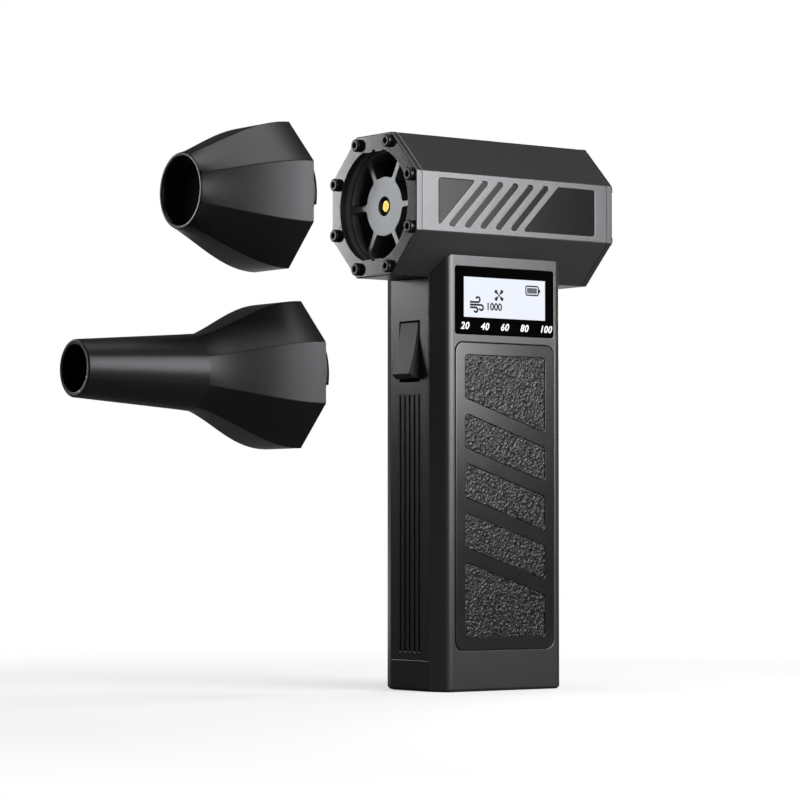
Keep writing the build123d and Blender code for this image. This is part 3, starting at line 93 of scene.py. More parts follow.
class Finish:
    """A node tree of a material or of the world, built from Python expressions."""

    def __init__(self, name, holder=None):
        self.holder = holder or bpy.data.materials.new(name)
        self.holder.use_nodes = True
        self.tree = self.holder.node_tree
        self.tree.nodes.clear()

    def node(self, kind, settings=None, values=None, output=0):
        """Adds a node: settings first, then the values or links of its sockets."""
        made = self.tree.nodes.new("ShaderNode" + kind)
        for name, value in (settings or {}).items():
            if name == "stops":
                ramp = made.color_ramp.elements
                while len(ramp) < len(value):
                    ramp.new(1.0)
                for stop, (place, shade) in zip(ramp, value):
                    stop.position = place
                    stop.color = (shade, shade, shade, 1.0)
            else:
                setattr(made, name, value)
        for name, value in (values or {}).items():
            if isinstance(value, Wire):
                self.tree.links.new(value.socket, made.inputs[name])
            else:
                made.inputs[name].default_value = value
        return Wire(self, made.outputs[output])

    def place(self):
        """The point on the object, in metres."""
        return self.node("TexCoord", output="Object")

    def mix(self, mask, first, second):
        """Colour first where mask is 0, second where it is 1."""
        values = {0: mask}
        for slot, colour in ((6, first), (7, second)):
            values[slot] = colour if isinstance(colour, Wire) else (*colour, 1.0)
        return self.node("Mix", {"data_type": "RGBA"}, values, output=2)

    def ramp(self, value, *stops):
        """Value led through (place, shade) stops."""
        return self.node("ValToRGB", {"stops": stops}, {0: value})

    def clouds(self, size, detail=3.0, rough=0.55, stretch=None):
        """Soft noise whose blobs are about size metres across."""
        spot = self.place()
        if stretch:
            spot = self.node("Mapping", None, {"Vector": spot, "Scale": stretch})
        return self.node(
            "TexNoise", None, {"Vector": spot, "Scale": 1 / size, "Detail": detail, "Roughness": rough}
        )

    def bump(self, height, depth):
        """A normal from a height that is worth depth metres."""
        return self.node("Bump", None, {"Height": height, "Distance": depth, "Strength": 1.0})

    def principled(self, colour, **values):
        """Closes the material with one Principled shader."""
        sockets = {"Base Color": colour if isinstance(colour, Wire) else (*colour, 1.0)}
        names = {
            "rough": "Roughness", "metal": "Metallic", "normal": "Normal", "shine": "Specular IOR Level",
            "glow": "Emission Strength", "glow_colour": "Emission Color", "ior": "IOR",
        }
        for name, value in values.items():
            sockets[names[name]] = (*value, 1.0) if isinstance(value, tuple) else value
        shader = self.node("BsdfPrincipled", None, sockets)
        self.node_out(shader)
        return self.holder

    def node_out(self, shader, kind="OutputMaterial"):
        """Leads a shader to the output of the tree."""
        last = self.tree.nodes.new("ShaderNode" + kind)
        self.tree.links.new(shader.socket, last.inputs["Surface"])


def seen(finish):
    """Two masks: 1 for what the eye sees directly, and 1 for what a reflection or a clear piece shows."""
    eye, glossy, clear = [finish.node("LightPath", output=kind) for kind in (
        "Is Camera Ray", "Is Glossy Ray", "Is Transmission Ray"
    )]
    return eye, finish.node("Math", {"operation": "MAXIMUM"}, {0: glossy, 1: clear})


floor_reach = 6.0
shadow_room = (0.16, 0.42)           # the board turns white between these distances
shadow_shape = (0.8, 1.0, 0.0)       # which reach further along X than along Y
near_glow = 0.55                     # how much of the white is there next to the object
backdrop_room = (0.3, 0.9)           # mirrors see the white board between these depths
pale_board = (0.85, 0.85, 0.85)
dim_board = (0.16, 0.16, 0.16)       # what the object gets back from the board
floor_paint = Finish("floor_paint")
floor_spot = floor_paint.node(
    "VectorMath", {"operation": "MULTIPLY"}, {0: floor_paint.place(), 1: shadow_shape}
)
from_object = floor_paint.node("VectorMath", {"operation": "LENGTH"}, {0: floor_spot}, output="Value")
far = floor_paint.node(
    "MapRange", {"interpolation_type": "SMOOTHSTEP"},
    {"Value": from_object, "From Min": shadow_room[0], "From Max": shadow_room[1]},
)
floor_eye, floor_mirrored = seen(floor_paint)
floor_depth = floor_paint.node(
    "VectorMath", {"operation": "DOT_PRODUCT"},
    {0: floor_paint.place(), 1: (camera_look.x, camera_look.y, 0.0)}, output="Value",
)
floor_behind = floor_paint.node(
    "MapRange", {"interpolation_type": "SMOOTHSTEP"},
    {"Value": floor_depth, "From Min": backdrop_room[0], "From Max": backdrop_room[1]},
)
floor_paint.node_out(floor_paint.node("MixShader", None, {
    0: floor_eye * (near_glow + (1 - near_glow) * far) + floor_mirrored * floor_behind,
    1: floor_paint.node("BsdfDiffuse", None, {"Color": floor_paint.mix(floor_eye, dim_board, pale_board)}),
    2: floor_paint.node("Emission", None, {"Color": (1.0, 1.0, 1.0, 1.0), "Strength": 1.0}),
}))
board = bmesh.new()
bmesh.ops.create_grid(board, x_segments=1, y_segments=1, size=floor_reach / 2)
floor_mesh = bpy.data.meshes.new("floor")
board.to_mesh(floor_mesh)
board.free()
floor_mesh.materials.append(floor_paint.holder)
floor = bpy.data.objects.new("floor", floor_mesh)
bpy.context.scene.collection.objects.link(floor)

air_light = 0.075                    # strength of the air for all but the eye
backdrop_turn = (0.97, 0.995)        # mirrors see white air where the turn's cosine passes these
air = bpy.data.worlds.new("air")
bpy.context.scene.world = air
air_paint = Finish("air", air)
towards_back = air_paint.node(
    "VectorMath", {"operation": "DOT_PRODUCT"},
    {0: air_paint.node("TexCoord", output="Generated"), 1: (camera_look.x, camera_look.y, 0.0)},
    output="Value",
)
behind = air_paint.node(
    "MapRange", {"interpolation_type": "SMOOTHSTEP"},
    {"Value": towards_back, "From Min": backdrop_turn[0], "From Max": backdrop_turn[1]},
)
air_eye, air_mirrored = seen(air_paint)
whiteness = air_paint.node("Math", {"operation": "MAXIMUM"}, {0: air_eye, 1: air_mirrored * behind})
air_paint.node_out(air_paint.node("Background", None, {
    "Color": (1.0, 1.0, 1.0, 1.0), "Strength": air_light + (1 - air_light) * whiteness,
}), "OutputWorld")


# Lamps.  Soft boxes: a large one in front of the display, one in front of the nozzles, one behind to
# the left for the outlet end, one behind to the right for the back, and one above.  They are lamps
# for the picture alone and no part of the blower.
def soft_box(name, place, aim, size, power):
    """A rectangular soft box at a place, turned to a point."""
    light = bpy.data.lights.new(name, "AREA")
    light.shape = "RECTANGLE"
    light.size, light.size_y = size
    light.energy = power
    lamp = bpy.data.objects.new(name, light)
    lamp.location = place
    lamp.rotation_euler = (Vector(aim) - Vector(place)).to_track_quat("-Z", "Y").to_euler()
    bpy.context.scene.collection.objects.link(lamp)


soft_box("key_box", (0.145, -0.43, 0.265), (0.0, 0.0, 0.16), (0.28, 0.31), 2.6)
soft_box("front_box", (-0.10, -0.48, 0.215), (-0.10, 0.0, 0.16), (0.20, 0.26), 0.9)
soft_box("side_box", (-0.265, 0.49, 0.27), (-0.04, 0.0, 0.18), (0.20, 0.22), 1.0)
soft_box("rear_box", (0.48, 0.38, 0.30), (0.0, 0.0, 0.13), (0.26, 0.30), 2.0)
soft_box("top_box", (-0.05, -0.04, 0.80), (-0.06, 0.0, 0.15), (0.34, 0.34), 1.7)


# Barrel housing: an octagonal aluminium extrusion, blasted and anodised dark grey.  Its long edges
# are broken by a fine radius, which is painted a little lighter: a painted highlight.
weld_room = 2e-6                     # points nearer than this are one
flat_turn = radians(0.4)             # faces that turn less than this are one flat


def eased(node, width, sharpest=28, wanted=None):
    """A copy of a node whose sharp edges are rounded; a face value is 1 on the roundings, where materials
    paint the edge lighter as a painted highlight.
    """
    shape = bmesh.new()
    shape.from_mesh(nodes[node].data)
    bmesh.ops.remove_doubles(shape, verts=shape.verts, dist=weld_room)
    bmesh.ops.dissolve_limit(shape, angle_limit=flat_turn, verts=shape.verts, edges=shape.edges)
    worn = shape.faces.layers.float.new("worn")
    edges = [
        edge for edge in shape.edges
        if edge.is_manifold and edge.calc_face_angle(0) > radians(sharpest)
        and (wanted is None or wanted(edge))
    ]
    made = bmesh.ops.bevel(
        shape, geom=edges, offset=width, offset_type="OFFSET", affect="EDGES", segments=2, profile=0.5,
        material=-1, clamp_overlap=False,
    )
    for face in made["faces"]:
        face[worn] = 1.0
    return piece_from(shape, node + "_eased", smooth=True)


def piece_from(shape, name, smooth=False, weighted=True):
    """Turns a bmesh into an object; smooth pieces get normals weighted by face area."""
    mesh = bpy.data.meshes.new(name)
    for face in shape.faces:
        face.smooth = smooth
    shape.to_mesh(mesh)
    shape.free()
    piece = bpy.data.objects.new(name, mesh)
    bpy.context.scene.collection.objects.link(piece)
    if smooth and weighted:
        weigh = piece.modifiers.new("weighted", "WEIGHTED_NORMAL")
        weigh.mode = "FACE_AREA"
        weigh.weight = 100
        weigh.keep_sharp = True
    return piece


def dress(piece, material, body, slot, *replaced):
    """Gives a new piece its material, its body and the nodes that it stands for; slot is not used."""
    piece.data.materials.clear()
    piece.data.materials.append(material)
    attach(piece, body)
    if replaced:
        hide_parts(*replaced)


def coat(material, *names):
    """Gives a material to CAD nodes that stay as they are."""
    for name in names:
        node = nodes[name]
        if not node.material_slots:
            node.data.materials.append(material)
        for holder in node.material_slots:
            holder.material = material


barrel_grey = (0.100, 0.100, 0.104)
barrel_finish = Finish("blasted_anodised")
blast = barrel_finish.clouds(0.00030, detail=2.0)
patches = barrel_finish.clouds(0.018, detail=2.0)
barrel_edge_sheen = barrel_finish.node("Attribute", {"attribute_name": "worn"}, output="Fac")
speckle = barrel_finish.ramp(blast, (0.30, 0.0), (0.72, 1.0))
# the eased edges are painted lighter: a painted highlight
barrel_colour = barrel_finish.mix(
    speckle * 0.35 + patches * 0.10 + barrel_edge_sheen * 0.15,
    tuple(0.85 * shade for shade in barrel_grey), tuple(1.90 * shade for shade in barrel_grey),
)
barrel_material = barrel_finish.principled(
    barrel_colour, metal=0.85, rough=0.33 + 0.08 * speckle, shine=0.4,
    normal=barrel_finish.bump(blast, 0.000022),
)
barrel_low, barrel_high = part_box("barrel_housing")
barrel_axis = (barrel_low.z + barrel_high.z) / 2
apothem = (barrel_high.y - barrel_low.y) / 2
corner_reach = 1.04 * apothem        # only the octagon's corners lie outside this radius
housing = eased("barrel_housing", 0.00035, wanted=lambda edge: all(
    v.co.y**2 + (v.co.z - barrel_axis)**2 > corner_reach**2 for v in edge.verts
))
dress(housing, barrel_material, "body", "barrel_paint", "barrel_housing")


# Side inlays: thin gloss films of smoked black plastic with a faint haze.  They are glued into the
# windows of the side panels, just below the panel's face.
inlay_finish = Finish("smoked_gloss")
inlay_haze = inlay_finish.clouds(0.030, detail=1.0)
inlay_material = inlay_finish.principled(
    inlay_finish.mix(inlay_haze, (0.007, 0.007, 0.008), (0.012, 0.012, 0.013)),
    rough=0.16 + 0.04 * inlay_finish.clouds(0.0006), shine=0.18,
    normal=inlay_finish.bump(inlay_finish.clouds(0.0015, detail=1.0), 0.000004),
)
coat(inlay_material, "side_inlay_front", "side_inlay_rear")


# End plates: octagonal aluminium rings in the same blasted coat, screwed on both ends of the barrel.
# Their faces are ground before they are coated and so are glossier than their rims.
plate_finish = Finish("satin_anodised")
plate_grain = plate_finish.clouds(0.00035, detail=2.0)
plate_edge_sheen = plate_finish.node("Attribute", {"attribute_name": "worn"}, output="Fac")
plate_rim = plate_finish.node("Attribute", {"attribute_name": "rim"}, output="Fac")
# the eased edges are painted slightly lighter: a painted highlight
plate_material = plate_finish.principled(
    plate_finish.mix(plate_edge_sheen * 0.05 + plate_grain * 0.25, (0.085, 0.085, 0.088), (0.19, 0.19, 0.195)),
    metal=0.85, rough=0.11 + 0.08 * plate_grain + 0.22 * plate_rim,
    normal=plate_finish.bump(plate_grain, 0.00001),
)
for name in ("outlet_plate", "inlet_plate"):
    plate = eased(name, 0.00012)
    rim = plate.data.attributes.new("rim", "FLOAT", "FACE")
    for face in plate.data.polygons:
        rim.data[face.index].value = float(abs(face.normal.x) < 0.9)
    dress(plate, plate_material, "body", "plate_paint", name)


# End screws: eight socket-head screws in each end plate, of blackened steel whose edges are painted
# a little lighter, a painted highlight.  The screws of the handle are of the same steel.
screw_finish = Finish("black_oxide")
screw_grain = screw_finish.clouds(0.0003)
screw_edge_sheen = screw_finish.node("Attribute", {"attribute_name": "worn"}, output="Fac")
# the eased edges are painted lighter: a painted highlight
screw_material = screw_finish.principled(
    screw_finish.mix(screw_edge_sheen * 0.2 + screw_grain * 0.1, (0.006, 0.006, 0.0065), (0.10, 0.10, 0.105)),
    metal=0.5, rough=0.22 + 0.10 * screw_grain, shine=0.5, normal=screw_finish.bump(screw_grain, 0.00001),
)
for name in ("outlet_screws", "inlet_screws"):
    dress(eased(name, 0.00012), screw_material, "body", "black_screw", name)
coat(screw_material, "base_screws", "shell_screws", "neck_screws")


# Fan duct and inlet grille: dark moulded plastic with a fine matt grain, held between the end plates.
# The duct is painted lighter grey over its mouth in front of the spider and darker deeper in: painted light
# at the mouth and painted shade inside.
duct_finish = Finish("matt_duct")
duct_grain = duct_finish.clouds(0.0005)
duct_along = duct_finish.node("SeparateXYZ", None, {0: duct_finish.place()}, output="X")
mouth_depth = 0.0064
lit_mouth_fade = 0.001
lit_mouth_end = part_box("fan_duct")[0].x + mouth_depth
# lighter towards the mouth: painted light at the mouth, painted shade deeper in
lit_mouth_mask = duct_finish.node(
    "MapRange", {"interpolation_type": "SMOOTHSTEP"},
    {"Value": duct_along, "From Min": lit_mouth_end, "From Max": lit_mouth_end - lit_mouth_fade},
)
duct_shade = duct_finish.mix(duct_grain, (0.016, 0.016, 0.017), (0.030, 0.030, 0.032))
duct_material = duct_finish.principled(
    duct_finish.mix(lit_mouth_mask, duct_shade, (0.095, 0.095, 0.098)),
    rough=0.42 + 0.14 * duct_grain, shine=0.35, normal=duct_finish.bump(duct_grain, 0.00003),
)
coat(duct_material, "fan_duct")
dress(eased("inlet_grille", 0.00018), duct_material, "body", "duct_black", "inlet_grille")


# Stator spider: one aluminium casting of hub, six spokes and ring, blasted to a bright silver grey.
# The motor can behind it and its cover are turned from the same metal.
cast_finish = Finish("blasted_casting")
cast_grain = cast_finish.clouds(0.00045, detail=3.0)
cast_edge_sheen = cast_finish.node("Attribute", {"attribute_name": "worn"}, output="Fac")
# the eased edges are painted slightly lighter: a painted highlight
cast_material = cast_finish.principled(
    cast_finish.mix(cast_grain * 0.4 + cast_edge_sheen * 0.1, (0.26, 0.27, 0.28), (0.40, 0.41, 0.43)),
    metal=0.8, rough=0.42 + 0.12 * cast_grain, normal=cast_finish.bump(cast_grain, 0.00005),
)
dress(eased("stator_spider", 0.00022, sharpest=40), cast_material, "body", "cast_silver", "stator_spider")
turned_finish = Finish("turned_aluminium")
turned_rings = turned_finish.clouds(0.0004, stretch=(6.0, 0.4, 0.4))
turned_material = turned_finish.principled(
    turned_finish.mix(turned_rings, (0.40, 0.40, 0.42), (0.60, 0.60, 0.62)),
    metal=0.95, rough=0.28 + 0.16 * turned_rings, normal=turned_finish.bump(turned_rings, 0.00001),
)
coat(turned_material, "motor_can", "motor_rear_cover")


# Bearings, shaft, magnet, trigger pin and spring: ground bright steel.  The bush pressed on the
# shaft's end is turned brass.
steel_finish = Finish("ground_steel")
steel_lines = steel_finish.clouds(0.0002, stretch=(0.3, 3.0, 3.0))
steel_material = steel_finish.principled(
    steel_finish.mix(steel_lines, (0.42, 0.42, 0.42), (0.62, 0.62, 0.61)),
    metal=1.0, rough=0.22 + 0.14 * steel_lines, normal=steel_finish.bump(steel_lines, 0.000006),
)
coat(
    steel_material, "front_bearing", "rear_bearing", "rotor_shaft", "rotor_magnet", "trigger_pin",
    "trigger_spring",
)
brass_finish = Finish("turned_brass")
brass_rings = brass_finish.clouds(0.0003)
brass_material = brass_finish.principled(
    brass_finish.mix(brass_rings, (0.34, 0.22, 0.04), (0.50, 0.34, 0.09)),
    metal=1.0, rough=0.16 + 0.12 * brass_rings, normal=brass_finish.bump(brass_rings, 0.000008),
)
coat(brass_material, "shaft_bush")


# Motor inside: a core of lacquered steel sheets, stacked along the shaft and glued into the can, with
# a winding of enamelled copper in each slot.
core_finish = Finish("core_sheets")
core_sheets = core_finish.node("TexWave", {"wave_type": "BANDS", "bands_direction": "X"}, {
    "Vector": core_finish.place(), "Scale": 630.0, "Distortion": 0.0,
}, output="Fac")
core_material = core_finish.principled(
    core_finish.mix(core_sheets, (0.05, 0.05, 0.055), (0.22, 0.22, 0.23)),
    metal=0.8, rough=0.4 + 0.15 * core_sheets, normal=core_finish.bump(core_sheets, 0.00004),
)
coat(core_material, "stator_core")
copper_finish = Finish("enamelled_copper")
copper_turns = copper_finish.node("TexWave", {"wave_type": "RINGS", "rings_direction": "X"}, {
    "Vector": copper_finish.place(), "Scale": 800.0, "Distortion": 0.6,
}, output="Fac")
copper_material = copper_finish.principled(
    copper_finish.mix(copper_turns, (0.20, 0.06, 0.02), (0.62, 0.24, 0.08)),
    metal=0.85, rough=0.28 + 0.1 * copper_turns, normal=copper_finish.bump(copper_turns, 0.00008),
)
coat(copper_material, "stator_windings")


# Fan wheel: twisted blades on a domed hub, milled from one piece of aluminium and left with fine tool
# marks.  It is pressed on the rotor shaft.
wheel_finish = Finish("milled_aluminium")
wheel_marks = wheel_finish.clouds(0.0005, stretch=(1.0, 0.25, 0.25))
wheel_material = wheel_finish.principled(
    wheel_finish.mix(wheel_marks, (0.46, 0.46, 0.48), (0.68, 0.68, 0.70)),
    metal=0.95, rough=0.26 + 0.14 * wheel_marks, normal=wheel_finish.bump(wheel_marks, 0.00002),
)
dress(eased("impeller", 0.00012, sharpest=40), wheel_material, "rotor", "fan_alu", "impeller")


# Handle shells: two halves moulded in dark plastic with metallic flake under a satin lacquer, screwed
# together round the cells.  Only their outer edges are eased.
shell_grey = (0.080, 0.080, 0.083)
outer_y = 0.0105                     # edges beyond these two are outer edges
outer_x = 0.0262
shell_finish = Finish("satin_metallic")
shell_grain = shell_finish.clouds(0.00036, detail=2.0)
shell_cast = shell_finish.clouds(0.035, detail=2.0)
shell_edge_sheen = shell_finish.node("Attribute", {"attribute_name": "worn"}, output="Fac")
# the eased outer edges are painted lighter: a painted highlight
shell_material = shell_finish.principled(
    shell_finish.mix(
        shell_grain * 0.35 + shell_cast * 0.15 + shell_edge_sheen * 0.25,
        tuple(0.75 * shade for shade in shell_grey), tuple(1.6 * shade for shade in shell_grey),
    ),
    metal=0.75, rough=0.29 + 0.08 * shell_grain, shine=0.4, normal=shell_finish.bump(shell_grain, 0.00002),
)
for name in ("handle_front_shell", "handle_rear_shell"):
    dress(
        eased(name, 0.00025, sharpest=40, wanted=lambda edge: all(
            abs(v.co.y) > outer_y or abs(v.co.x) > outer_x for v in edge.verts
        )),
        shell_material, "body", "shell_plastic", name,
    )


# Side strips and base cap: separate mouldings in plain dark plastic.  The strips have five long
# grooves for the fingers, the left one also the window of the trigger.
strip_finish = Finish("dark_moulded")
strip_grain = strip_finish.clouds(0.0005)
strip_edge_sheen = strip_finish.node("Attribute", {"attribute_name": "worn"}, output="Fac")
# the eased edges are painted lighter: a painted highlight
strip_material = strip_finish.principled(
    strip_finish.mix(strip_grain * 0.4 + strip_edge_sheen * 0.3, (0.050, 0.050, 0.052), (0.110, 0.110, 0.115)),
    metal=0.85, rough=0.22 + 0.07 * strip_grain, shine=0.4, normal=strip_finish.bump(strip_grain, 0.00003),
)
for name in ("left_strip", "right_strip"):
    dress(eased(name, 0.00018), strip_material, "body", "strip_plastic", name)
dress(eased("base_cap", 0.00020), strip_material, "body", "strip_plastic", "base_cap")


# Trigger: a moulded satin black wedge with a hollowed face, which turns on a steel pin.  Behind it
# are the micro switch and its carrier, of plain dark plastic as the tray of the cells.
trigger_finish = Finish("satin_black")
trigger_grain = trigger_finish.clouds(0.0006)
trigger_edge_sheen = trigger_finish.node("Attribute", {"attribute_name": "worn"}, output="Fac")
# the eased edges are painted lighter: a painted highlight
trigger_material = trigger_finish.principled(
    trigger_finish.mix(trigger_edge_sheen * 0.2 + trigger_grain * 0.1, (0.010, 0.010, 0.011), (0.04, 0.04, 0.042)),
    rough=0.38 + 0.06 * trigger_grain, shine=0.2,
    normal=trigger_finish.bump(trigger_grain, 0.00001),
)
dress(eased("trigger", 0.00018, sharpest=24), trigger_material, "trigger", "trigger_plastic", "trigger")
switch_finish = Finish("switch_plastic")
switch_grain = switch_finish.clouds(0.0004)
switch_material = switch_finish.principled(
    switch_finish.mix(switch_grain, (0.02, 0.02, 0.02), (0.05, 0.05, 0.05)), rough=0.5 + 0.1 * switch_grain,
    normal=switch_finish.bump(switch_grain, 0.00002),
)
coat(switch_material, "trigger_switch", "switch_plunger", "switch_carrier", "cell_tray")


# Display: a smooth deep black bezel round a lit panel that glows an even bluish white.  Both are
# glued into the front shell.
bezel_finish = Finish("gloss_black")
bezel_haze = bezel_finish.clouds(0.02, detail=1.0)
bezel_material = bezel_finish.principled(
    bezel_finish.mix(bezel_haze, (0.001, 0.001, 0.001), (0.002, 0.002, 0.002)),
    rough=0.40 + 0.05 * bezel_haze, shine=0.0, ior=1.12,
    normal=bezel_finish.bump(bezel_finish.clouds(0.003, detail=1.0), 0.000004),
)
dress(eased("display_bezel", 0.00015), bezel_material, "body", "bezel_gloss", "display_bezel")
screen_finish = Finish("lit_screen")
screen_glow = screen_finish.clouds(0.012, detail=1.0)
screen_colour = screen_finish.mix(screen_glow, (0.80, 0.835, 0.91), (0.83, 0.87, 0.95))
screen_material = screen_finish.principled(
    (0.02, 0.02, 0.022), rough=0.30 + 0.04 * screen_finish.clouds(0.0008), shine=0.1,
    glow=1.0, glow_colour=screen_colour,
    normal=screen_finish.bump(screen_finish.clouds(0.0008), 0.000002),
)
coat(screen_material, "lcd_panel")


# Marks on the display: a battery with five bars, a fan wheel, three gusts and a plain number, dark on
# the lit panel; below it a plain scale of numbers is printed white on the bezel.
def stroke(shape, points, width, depth):
    """A ribbon along points of the X-Z plane, at the depth Y."""
    sides = []
    for k, (x, z) in enumerate(points):
        before, after = points[max(k - 1, 0)], points[min(k + 1, len(points) - 1)]
        along = Vector((after[0] - before[0], after[1] - before[1])).normalized()
        across = Vector((-along.y, along.x)) * width / 2
        sides.append([
            shape.verts.new((x + side * across.x, depth, z + side * across.y)) for side in (-1, 1)
        ])
    for (a, b), (c, d) in zip(sides, sides[1:]):
        shape.faces.new((a, c, d, b))


def arc(x, z, radius, first, sweep, steps=14):
    """Points of an arc, angles in degrees from the +X side."""
    turns = [radians(first + sweep * k / steps) for k in range(steps + 1)]
    return [(x + radius * cos(turn), z + radius * sin(turn)) for turn in turns]


def patch(shape, points, depth):
    """A filled outline in the X-Z plane."""
    shape.faces.new([shape.verts.new((x, depth, z)) for x, z in points])


def print_text(name, words, left, foot, depth, height, slant=0.0, fat=0.0, spread=1.0):
    """Flat figures whose lower left corner is at (left, foot)."""
    figure_share = 0.70              # height of a figure as a share of the font's size
    curve = bpy.data.curves.new(name, "FONT")
    curve.body = words
    curve.size = height / figure_share
    curve.shear = slant
    curve.offset = fat
    curve.space_character = spread
    holder = bpy.data.objects.new(name + "_curve", curve)
    flat = bpy.data.meshes.new_from_object(holder)
    for vertex in flat.vertices:
        x, z = vertex.co.x, vertex.co.y
        vertex.co = (left + x, depth, foot + z)
    flat.name = name
    piece = bpy.data.objects.new(name, flat)
    bpy.context.scene.collection.objects.link(piece)
    bpy.data.objects.remove(holder)
    return piece


screen_low, screen_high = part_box("lcd_panel")
print_lift = 0.00003
screen_y = screen_low.y - print_lift
left_mark = screen_low.x
foot_mark = screen_low.z
mm = 0.001
icons = bmesh.new()
battery_x, battery_z = left_mark + 28.0 * mm, foot_mark + 8.8 * mm
battery_long, battery_tall = 5.7 * mm, 3.2 * mm
line = 0.50 * mm
gust_line = 0.72 * mm
round_off = 0.6 * mm
bar_pitch, bar_wide, bar_foot, bar_head = 0.90 * mm, 0.76 * mm, 0.6 * mm, 2.6 * mm
case = []
for x, z, first in (
    (battery_long, battery_tall, 0), (0, battery_tall, 90), (0, 0, 180), (battery_long, 0, 270)
):
    inward_x = round_off if x == 0 else -round_off
    inward_z = round_off if z == 0 else -round_off
    case += arc(battery_x + x + inward_x, battery_z + z + inward_z, round_off, first, 90, steps=4)
stroke(icons, case + case[:2], line, screen_y)
for bar in range(5):
    x = battery_x + 0.62 * mm + bar_pitch * bar
    patch(icons, [
        (x, battery_z + bar_foot), (x + bar_wide, battery_z + bar_foot),
        (x + bar_wide, battery_z + bar_head), (x, battery_z + bar_head),
    ], screen_y)
nub = battery_x + battery_long + line / 2
patch(icons, [
    (nub, battery_z + 1.0 * mm), (nub + 0.55 * mm, battery_z + 1.0 * mm),
    (nub + 0.55 * mm, battery_z + 2.2 * mm), (nub, battery_z + 2.2 * mm),
], screen_y)
wheel_x, wheel_z = left_mark + 15.8 * mm, foot_mark + 8.1 * mm
for turn in (45, 135, 225, 315):
    aim_x, aim_z = cos(radians(turn)), sin(radians(turn))
    blade = []
    for along, across in (
        (0.5, 0.16), (1.2, 0.42), (1.7, 0.66), (2.2, 0.66), (2.5, 0.30), (2.4, -0.40), (1.9, -0.62),
        (1.2, -0.38), (0.5, -0.16),
    ):
        blade.append((
            wheel_x + (along * aim_x - across * aim_z) * mm, wheel_z + (along * aim_z + across * aim_x) * mm
        ))
    patch(icons, blade, screen_y)
patch(icons, arc(wheel_x, wheel_z, 0.38 * mm, 0, 345), screen_y)
gust_x, gust_z = left_mark + 2.8 * mm, foot_mark
for run, height, radius, turn in ((3.5, 5.30, 0.90, 1), (5.0, 4.35, 0.90, -1), (2.6, 3.40, 0.80, -1)):
    z = gust_z + height * mm
    r = radius * mm
    hook = arc(gust_x + run * mm, z + turn * r, r, -90 * turn, 250 * turn)
    stroke(icons, [(gust_x, z)] + hook, gust_line, screen_y)
marks = piece_from(icons, "display_marks")
ink_finish = Finish("screen_ink")
ink_grain = ink_finish.clouds(0.0006)
ink_material = ink_finish.principled(
    ink_finish.mix(ink_grain, (0.006, 0.006, 0.010), (0.012, 0.012, 0.020)),
    rough=0.4 + 0.1 * ink_grain, shine=0.1,
)
dress(marks, ink_material, "body", None)
dress(
    print_text(
        "display_number", "1000", left_mark + 10.0 * mm, foot_mark + 2.75 * mm, screen_y, 2.5 * mm,
        fat=0.00010,
    ),
    ink_material, "body", None,
)
white_finish = Finish("white_print")
white_grain = white_finish.clouds(0.0006)
white_material = white_finish.principled(
    white_finish.mix(white_grain, (0.72, 0.72, 0.72), (0.86, 0.86, 0.86)),
    rough=0.5 + 0.1 * white_grain, shine=0.2,
)
bezel_low, bezel_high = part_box("display_bezel")
for step in range(5):
    number = print_text(
        "scale_%d" % (20 * step + 20), str(20 * step + 20), left_mark + (-1.6 + 8.9 * step) * mm,
        foot_mark - 4.3 * mm, bezel_low.y - print_lift, 2.4 * mm, slant=0.25, fat=0.00009, spread=1.1,
    )
    dress(number, white_material, "body", None)


# Grip frames: surrounds with slanted bars, moulded in dark plastic under a metallic gloss lacquer.
# One is let into the front of the handle and one into the back.
frame_finish = Finish("gloss_frame")
frame_haze = frame_finish.clouds(0.015, detail=1.0)
frame_edge_sheen = frame_finish.node("Attribute", {"attribute_name": "worn"}, output="Fac")
# the eased edges are painted lighter: a painted highlight
frame_material = frame_finish.principled(
    frame_finish.mix(frame_haze * 0.3 + frame_edge_sheen * 0.2, (0.062, 0.062, 0.064), (0.090, 0.090, 0.093)),
    metal=0.9, rough=0.19 + 0.05 * frame_haze, shine=0.4,
    normal=frame_finish.bump(frame_finish.clouds(0.0006), 0.000004),
)
for name in ("front_grip_frame", "rear_grip_frame"):
    dress(eased(name, 0.00018, sharpest=24), frame_material, "body", "frame_gloss", name)


# Grip pads: dark rubber cushions with a deep pebble grain and a slight sheen, five glued into each
# frame.  Their creases are painted near black: painted shade.
voxel = 0.00027                      # cells in which a pad is rebuilt
flank = 0.0004                       # the pad stays plain up to this height over its middle
pebble = 0.00088                     # from pebble to pebble
deep = 0.00026                       # depth of the creases
steepness = 1.7                      # how soon a crease rises to the pebble's crown
stray = 0.75                         # how far the pebbles stray from an even spread
stray_pitch = 0.8
stray_shift = Vector((9.3, 1.5, 8.0))
wave_deep = 0.00005                  # slow waves of the whole face
wave_long = 0.0045


